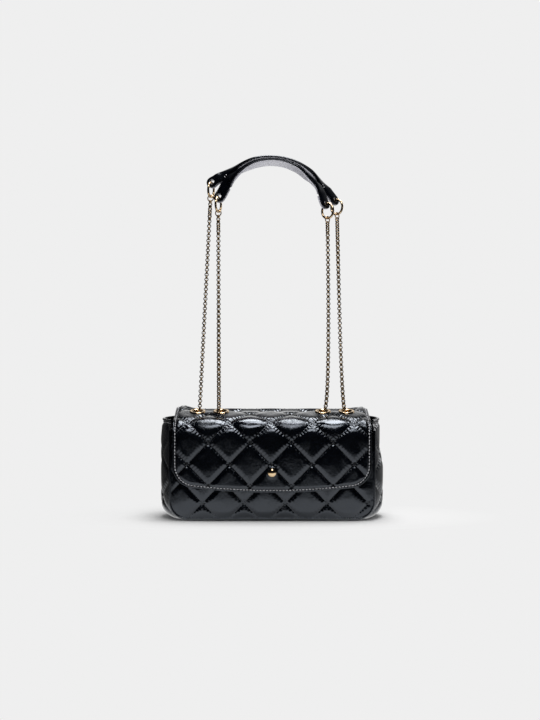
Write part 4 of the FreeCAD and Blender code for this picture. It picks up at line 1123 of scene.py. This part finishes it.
def make_mouth_facing():
    """Leather band round the mouth, higher at the back."""
    low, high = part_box("mouth_facing")
    depth = -low.y
    across = np.linspace(-1, 1, 41)
    half = gusset_half(depth) - MOUTH_INSET
    front = [(share * half, -depth) for share in across]
    right = [(gusset_half(share * depth) - MOUTH_INSET, share * depth) for share in across[1:-1]]
    path = np.array(front + right + [(-x, depth) for x, _ in front] + [(-x, -y) for x, y in right])
    tops = np.where(path[:, 1] > depth - 0.0005, high.z, MOUTH_HEIGHT)
    inward = path * (1 - MOUTH_THICKNESS / np.hypot(*path.T))[:, None]
    rings = []
    for outer, inner, top in zip(path, inward, tops):
        half_way = (low.z + top) / 2
        rings.append([(*outer, low.z), (*outer, half_way), (*outer, top - 0.0003),
                      (*(outer * 0.3 + inner * 0.7), top), (*inner, top - 0.0004), (*inner, half_way),
                      (*inner, low.z)])
    band = loft("mouth_band", rings, closed=True)
    places = points_of(band)
    side = np.sign(places[:, 0])
    places[:, 0] -= side * pinch_at(side, places[:, 1], places[:, 2])
    move_points(band, places)
    smooth_shade(band, 0.9)
    dress(band, "bag", LINING_LEATHER, ("mouth_facing",))


def make_inner_pocket():
    low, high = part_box("inner_pocket")
    outline = foot_outline((high.x - low.x) / 2, low.z, high.z, POCKET_CORNER, arc_steps=5, flat_steps=2)
    sheet = plain_sheet("pocket_patch", outline, 30, 16)
    places = points_of(sheet)
    edge = edge_distance(places, outline, True)
    places[:, 2] = POCKET_PUFF * smoothstep(0, POCKET_FADE, edge) + POCKET_LUMPS * mean_noise(places, 60, 2)
    move_points(sheet, places)
    stitches = sewn("pocket_stitches", sheet, outline_rows(outline, *POCKET_ROW), POCKET_STITCH)

    def pocket_form(x, z, height):
        return np.stack([x, high.y - POCKET_DEPTH - height, z], axis=1)

    wrap(stitches, pocket_form)
    lay_on(sheet, pocket_form, POCKET_SKIN)
    dress(sheet, "bag", LINING_CLOTH, ("inner_pocket",))
    dress(stitches, "bag", GLINT_PAINTED_THREAD)


# Hardware
def turned(name, profile, place, axis, ends_on_axis=False):
    """Turned metal piece: a circle drawn out along a profile of radii and heights."""
    deselect()
    bpy.ops.mesh.primitive_circle_add(vertices=TURNED_SIDES, radius=profile[0][0], fill_type="NOTHING")
    piece = rename(bpy.context.object, name)
    with editing(piece):
        bpy.ops.transform.translate(value=(0, 0, profile[0][1]))
        for (radius, height), (next_radius, next_height) in zip(profile, profile[1:]):
            bpy.ops.mesh.extrude_region_move(TRANSFORM_OT_translate={"value": (0, 0, next_height - height)})
            scale = next_radius / radius
            bpy.ops.transform.resize(value=(scale, scale, 1), center_override=(0, 0, next_height))
        if ends_on_axis:
            bpy.ops.mesh.merge(type="CENTER")
        bpy.ops.mesh.select_all(action="DESELECT")
        bpy.ops.mesh.select_non_manifold()
        if ends_on_axis:
            bpy.ops.mesh.edge_face_add()
        else:
            bpy.ops.mesh.bridge_edge_loops()
    turn = Vector(axis).to_track_quat("Z", "Y").to_matrix().to_4x4()
    piece.data.transform(Matrix.Translation(place) @ turn)
    outward(piece)
    smooth_shade(piece, 0.7)
    return piece


def make_eyelets():
    for name in STRANDS:
        x = middle_of("eyelet_" + name).x
        seat = flap_form(np.array([x]), np.array([-EYELET_RUN]), np.array([FLAP_VALLEY]))[0]
        ring = turned("eyelet_ring_" + name, EYELET_PROFILE, Vector(seat), TOP_AXIS)
        dress(ring, "flap", GOLD, ("eyelet_" + name,))


def make_stud():
    middle = middle_of("front_stud_cap")
    stud = turned("domed_stud", STUD_PROFILE, Vector((middle.x, FLAP_FRONT, middle.z)), (0, -1, 0), True)
    dress(stud, "flap", GOLD, ("front_stud", "front_stud_cap"))


# Chains
def spline_points(points):
    """Points along the smooth line that a route's points steer."""
    curve, spline = curve_along("route", "NURBS", points)
    curve.resolution_u = 200
    spline.order_u = min(3, len(points))
    spline.use_endpoint_u = True
    holder = bpy.data.objects.new("route", curve)
    mesh = bpy.data.meshes.new_from_object(holder)
    line = np.array([vertex.co[:] for vertex in mesh.vertices])
    bpy.data.objects.remove(holder)
    bpy.data.curves.remove(curve)
    bpy.data.meshes.remove(mesh)
    return line


def square_to(run, direction):
    """The part of a direction that is square to a run, as a unit."""
    side = direction - run * (direction @ run)
    return side / np.linalg.norm(side)


def links(name, places, along, axes):
    """Round band links, one modelled and the rest copied."""
    deselect()
    bpy.ops.mesh.primitive_torus_add(major_radius=LINK_ROUND, minor_radius=LINK_WALL,
                                     major_segments=12, minor_segments=6)
    band = pattern_of(bpy.context.object, (LINK_STRETCH, 1, LINK_BAND / LINK_WALL))
    return copies(name, band, places, np.stack([along, np.cross(axes, along), axes], axis=2))


def make_strand(name):
    route = STRAND_ROUTES[name]
    line = spline_points(route)
    length = float(knots_of(line)[-1])
    first = LINK_RADIUS - 2 * LINK_WIRE - LINK_GAP
    last = length - LINK_RADIUS + LINK_WIRE + JUMP_WIRE + LINK_GAP
    steps = math.ceil((last - first) / (2 * (LINK_RADIUS - LINK_WIRE) - LINK_GAP))
    places, along = along_line(line, np.linspace(first, last, steps + 1), LINK_RADIUS)
    sideways = np.array([1.0, 0, 0])
    end = along[-1]
    base = square_to(end, sideways)
    lead = square_to(end, np.array(JOINTS[name + "_ring_turn"]["axis"]))
    turn = math.atan2(lead @ np.cross(end, base), lead @ base) - (steps % 2) * math.pi / 2
    turn -= math.pi * round(turn / math.pi)
    low_turn, high_turn = STRAND_TURNS[name]
    axes = []
    for index, ahead in enumerate(along):
        side = square_to(ahead, sideways)
        hung = low_turn + (high_turn - low_turn) * index / steps
        angle = (index % 2) * math.pi / 2 + hung + (turn - hung) * smoothstep(UNTWIST_FROM, 1, index / steps)
        axes.append(side * math.cos(angle) + np.cross(ahead, side) * math.sin(angle))
    strand = links("strand_" + name, places, along, axes)
    dress(strand, "strap", SHADED_CHAIN_GOLD, ("chain_" + name,))


def make_under_chain(side):
    """Chain below the flap between the two eyelets of a pair."""
    start, end = (np.array(STRAND_ROUTES[side + "_" + row][0]) for row in ("outer", "inner"))
    ahead = (end - start) / np.linalg.norm(end - start)
    axle = np.array(TOP_AXIS)
    down = axle * UNDER_DROP
    bend = axle * UNDER_BEND
    route = [start, start - down, start - down - bend, start - down - bend + ahead * UNDER_BEND,
             end - down - bend - ahead * UNDER_BEND, end - down - bend, end - down, end]
    line = spline_points(route)
    length = knots_of(line)[-1]
    steps = 2 * math.ceil((length - 2 * LINK_RADIUS) / (4 * (LINK_RADIUS - LINK_WIRE) - 2 * LINK_GAP))
    places, along = along_line(line, np.linspace(LINK_RADIUS, length - LINK_RADIUS, steps + 1), LINK_RADIUS)
    lengthwise = np.cross(axle, ahead)
    axes = [lengthwise if index % 2 == 0 else np.cross(run, lengthwise) for index, run in enumerate(along)]
    chain = links("under_links_" + side, places, along, axes)
    dress(chain, "flap", SHADED_CHAIN_GOLD, ("under_chain_" + side,))


# Handle: a folded strap of two layers over a pale lining, with an ear for each layer at both ends
def strap_at(share):
    """Middle of the strap, its run, and the directions across it and up from its face; share from -1 to 1."""
    turn = share * HANDLE_HALF_ANGLE + HANDLE_TILT
    out = Vector((math.sin(turn), 0, math.cos(turn)))
    rear = Vector((0, 1, 0))
    roll = TOP_ROLL * (1 - share ** 2) + (LEFT_TWIST if share < 0 else RIGHT_TWIST) * share ** 4
    return (HANDLE_CENTRE + out * (HANDLE_RADIUS - SETTLE * (1 - share ** 2)),
            Vector((math.cos(turn), 0, -math.sin(turn))),
            rear * math.cos(roll) + out * math.sin(roll), out * math.cos(roll) - rear * math.sin(roll))


def strap_ring(place, width, face, half, high, power, count=20):
    """Rounded section of a strap."""
    ring = []
    for step in range(count):
        turn = 2 * math.pi * step / count
        across, up = (math.copysign(abs(part) ** (2 / power), part)
                      for part in (math.cos(turn), math.sin(turn)))
        ring.append(place + width * (half * across) + face * (high * up))
    return ring


def opening_at(share):
    return FOLD_OPENING * float(smoothstep(*OPENING, share) * smoothstep(*OPENING_END, share))


def swell_at(share):
    """How much fuller each layer is between the top and the ears."""
    return MID_SWELL * 4 * share ** 2 * (1 - share ** 2)


def fold_at(share):
    """How far each layer stands to its side and off the middle, and its half width."""
    aside = float(smoothstep(*PARTING, abs(share)))
    off = (LAYER_OFFSET + swell_at(share) + opening_at(share)) * float(smoothstep(*CLOSING, abs(share)))
    return EAR_RADIUS * aside, off, LAYER_HALF + (EAR_RADIUS - LAYER_HALF) * aside


def layer_at(row, share):
    """Place, directions and half sizes of one layer of the strap."""
    place, _, width, face = strap_at(share)
    aside, off, half = fold_at(share)
    high = LAYER_HIGH + swell_at(share) + (EAR_THICKNESS / 2 - LAYER_HIGH) * share ** 2
    return place + width * (row * aside) + face * (row * off), width, face, half, high


def ear_sections(end, row):
    """The same along the ear at one end of a layer, up to its rounded tip, and the place of its hole."""
    place, run, width, face = strap_at(end)
    reach = EAR_REACH - (row * LEFT_SKEW if end < 0 else 0)
    sections = []
    for step in np.linspace(0, 1, 7)[1:]:
        offset = EAR_RADIUS + (EAR_HALF_SPACING - EAR_RADIUS) * float(smoothstep(0, 1, step))
        middle = place + width * (row * offset) + run * (end * reach * step)
        sections.append((middle, width, face, EAR_RADIUS, EAR_THICKNESS / 2))
    for turn in np.linspace(0.22, EAR_TIP_TURN, 8):
        high = EAR_THICKNESS / 2 * (1 - EAR_TIP_THINNED * (turn / EAR_TIP_TURN) ** 4)
        sections.append((middle + run * (end * EAR_RADIUS * math.sin(turn)), width, face,
                         EAR_RADIUS * math.cos(turn), high))
    return sections, (middle, face)


def punch_holes(piece, holes):
    for place, face in holes:
        deselect()
        turn = face.to_track_quat("Z", "Y").to_euler()
        bpy.ops.mesh.primitive_cylinder_add(vertices=24, radius=EAR_HOLE, depth=EAR_THICKNESS * 3,
                                            location=place, rotation=turn)
        punch = bpy.context.object
        apply_modifier(piece, "BOOLEAN", object=punch, operation="DIFFERENCE", solver="EXACT")
        bpy.data.objects.remove(punch)
    smooth_shade(piece, 0.7)


def make_layer(row, name, replaced):
    """One layer of the strap with its two ears, and the pale lining inside the ears."""
    ears = [ear_sections(end, row) for end in (-1, 1)]
    rings = [strap_ring(*section, EAR_POWER) for section in ears[0][0][::-1]]
    rings += [strap_ring(*layer_at(row, share), LAYER_POWER) for share in np.linspace(-1, 1, 57)]
    rings += [strap_ring(*section, EAR_POWER) for section in ears[1][0]]
    layer = loft(name, rings)
    punch_holes(layer, [hole for _, hole in ears])
    dress(layer, "strap", HANDLE_LEATHER, replaced)
    for side, (sections, hole) in zip(("left", "right"), ears):
        rings = [strap_ring(middle - face * (high + LINING_TUCK), width, face,
                            half + LINING_TUCK * min(1, half / EAR_RADIUS), BACKING_HIGH, BACKING_POWER)
                 for middle, width, face, half, high in sections]
        backing = loft(name + "_" + side + "_backing", rings)
        punch_holes(backing, [hole])
        dress(backing, "strap", STRIP_LEATHER)


def make_handle():
    make_layer(-1, "handle_lower_layer", ("handle_strap",))
    make_layer(1, "handle_upper_layer", ())
    inside, under = [], []
    for share in np.linspace(-1, 1, 65):
        place, _, width, face = strap_at(share)
        aside, off, half = fold_at(share)
        taper = float(smoothstep(*LINING_TAPER, abs(share)))
        high = LINING_HIGH + (LINING_END_HIGH - LINING_HIGH) * share ** 2 * taper
        below = off + LAYER_HIGH + swell_at(share) + high - LINING_TUCK
        wide = aside + half - LINING_TUCK + LINING_FLARE * share ** 2
        under.append(strap_ring(place - face * below, width, face, wide, high, LINING_POWER, 24))
        share *= INSIDE_REACH
        place, _, width, face = strap_at(share)
        aside, off, half = fold_at(share)
        inside.append(strap_ring(place, width, face, half - aside - INSIDE_GAP,
                                 off - LAYER_HIGH - swell_at(share) + INSIDE_SINK, INSIDE_POWER, 16))
    linings = (("handle_inside", inside, ()), ("handle_under_lining", under, ("handle_lining",)))
    for name, rings, replaced in linings:
        piece = loft(name, rings)
        smooth_shade(piece, 0.9)
        dress(piece, "strap", STRIP_LEATHER, replaced)
    places, turns = [], []
    for share in TACK_SHARES:
        place, _, width, face = strap_at(share)
        places.append(place + face * (EAR_THICKNESS / 2 + swell_at(share) + 0.0003))
        turns.append(width.to_track_quat("X", "Z").to_matrix())
    tacks = copies("handle_tacks", stitch_pattern(*TACK_STITCH), places, turns)
    dress(tacks, "strap", GLINT_PAINTED_THREAD)


# Solids that keep their shape and only get a finish
def finish_solids():
    rings = [prefix + name for prefix in ("ring_", "jump_ring_", "washer_") for name in STRANDS]
    snap = ["snap_socket", "snap_socket_washer", "snap_stud", "snap_stud_washer"]
    for finish, names in ((GOLD, rings), (SNAP_METAL, snap), (LINING_LEATHER, ["base_board"])):
        for name in names:
            node = frame["nodes"][name]
            if not node.material_slots:
                node.data.materials.append(finish)
            for place in node.material_slots:
                place.material = finish


# Camera, light and floor
def make_camera():
    deselect()
    bpy.ops.object.camera_add(location=CAMERA_PLACE, rotation=(math.pi / 2 - CAMERA_PITCH, 0, 0))
    camera = bpy.context.object
    camera.data.lens = CAMERA_LENS
    camera.data.sensor_width = 36
    bpy.context.scene.camera = camera


def softbox(name, place, target, width, length, power):
    deselect()
    turn = (Vector(target) - Vector(place)).to_track_quat("-Z", "Y").to_euler()
    bpy.ops.object.light_add(type="AREA", location=place, rotation=turn)
    lamp = bpy.context.object
    lamp.name = name
    lamp.data.shape = "RECTANGLE"
    lamp.data.size = width
    lamp.data.size_y = length
    lamp.data.energy = power


def make_floor():
    """Pale table: bright away from the bag, and darker in parts of what the leather mirrors."""
    deselect()
    bpy.ops.mesh.primitive_plane_add(size=1, location=(0, 0, 0))
    floor = rename(bpy.context.object, "studio_floor")
    floor.data.transform(Matrix.Translation(FLOOR_MIDDLE) @ Matrix.Diagonal((*FLOOR_SIZE, 1, 1)))
    material, tree, base = shader("studio_floor")
    fill(tree, base, {"Base Color": grey(FLOOR_SHADE), "Roughness": 1.0, "Specular IOR Level": 0.0})
    rays = add_node(tree, "LightPath", {}).outputs
    place = object_place(tree)
    parts = add_node(tree, "SeparateXYZ", {"Vector": place}).outputs
    shadow = add_node(tree, "VectorMath", {0: place, 1: SHADOW_SHAPE}, operation="MULTIPLY").outputs["Vector"]
    reach = add_node(tree, "VectorMath", {0: shadow}, operation="LENGTH").outputs["Value"]
    lit = spread(tree, reach, *FLOOR_SHADOW)
    mirrored = worked_out(tree, "MULTIPLY", spread(tree, parts["Y"], *TABLE_NEAR),
                          spread(tree, parts["X"], *TABLE_LEFT), spread(tree, parts["X"], *TABLE_RIGHT),
                          spread(tree, reach, *MIRRORED_SHADOW))
    strength = add_node(tree, "Mix", {0: rays["Is Glossy Ray"], 2: 1.0, 3: mirrored}, data_type="FLOAT")
    glow = add_node(tree, "Emission", {"Color": grey(BACKDROP), "Strength": strength.outputs[0]}).outputs[0]
    seen = worked_out(tree, "MULTIPLY", rays["Is Camera Ray"], lit)
    amount = worked_out(tree, "MAXIMUM", seen, rays["Is Glossy Ray"])
    look = either(tree, amount, base.outputs["BSDF"], glow)
    fill(tree, tree.nodes["Material Output"], {"Surface": look})
    floor.data.materials.append(material)


def make_world():
    """Pale studio behind the bag, dark room behind the camera, soft light from all round."""
    world = bpy.data.worlds.new("studio")
    bpy.context.scene.world = world
    world.use_nodes = True
    tree = world.node_tree
    tree.nodes.clear()
    place = add_node(tree, "TexCoord", {}).outputs["Generated"]
    parts = add_node(tree, "SeparateXYZ", {"Vector": place}).outputs
    around = worked_out(tree, "MULTIPLY", spread(tree, parts["Y"], *ROOM_BEHIND),
                        spread(tree, parts["X"], *ROOM_LEFT), spread(tree, parts["X"], *ROOM_RIGHT),
                        spread(tree, parts["Z"], *ROOM_ABOVE))
    rays = add_node(tree, "LightPath", {}).outputs
    mirrored, ambient, backdrop = (add_node(tree, "Background", {"Color": colour}).outputs[0]
                                   for colour in (around, grey(AMBIENT), grey(BACKDROP)))
    look = either(tree, rays["Is Glossy Ray"], ambient, mirrored)
    look = either(tree, rays["Is Camera Ray"], look, backdrop)
    add_node(tree, "OutputWorld", {"Surface": look})


def make_studio():
    make_camera()
    make_world()
    make_floor()
    for name, setup in SOFTBOXES.items():
        softbox(name, *setup)
    bpy.context.scene.view_settings.view_transform = "Standard"


make_studio()
make_flap()
make_panels()
make_gusset()
make_piping()
make_fold()
make_lining()
make_mouth_facing()
make_inner_pocket()
make_eyelets()
make_stud()
for strand in STRANDS:
    make_strand(strand)
for pair in ("left", "right"):
    make_under_chain(pair)
make_handle()
finish_solids()
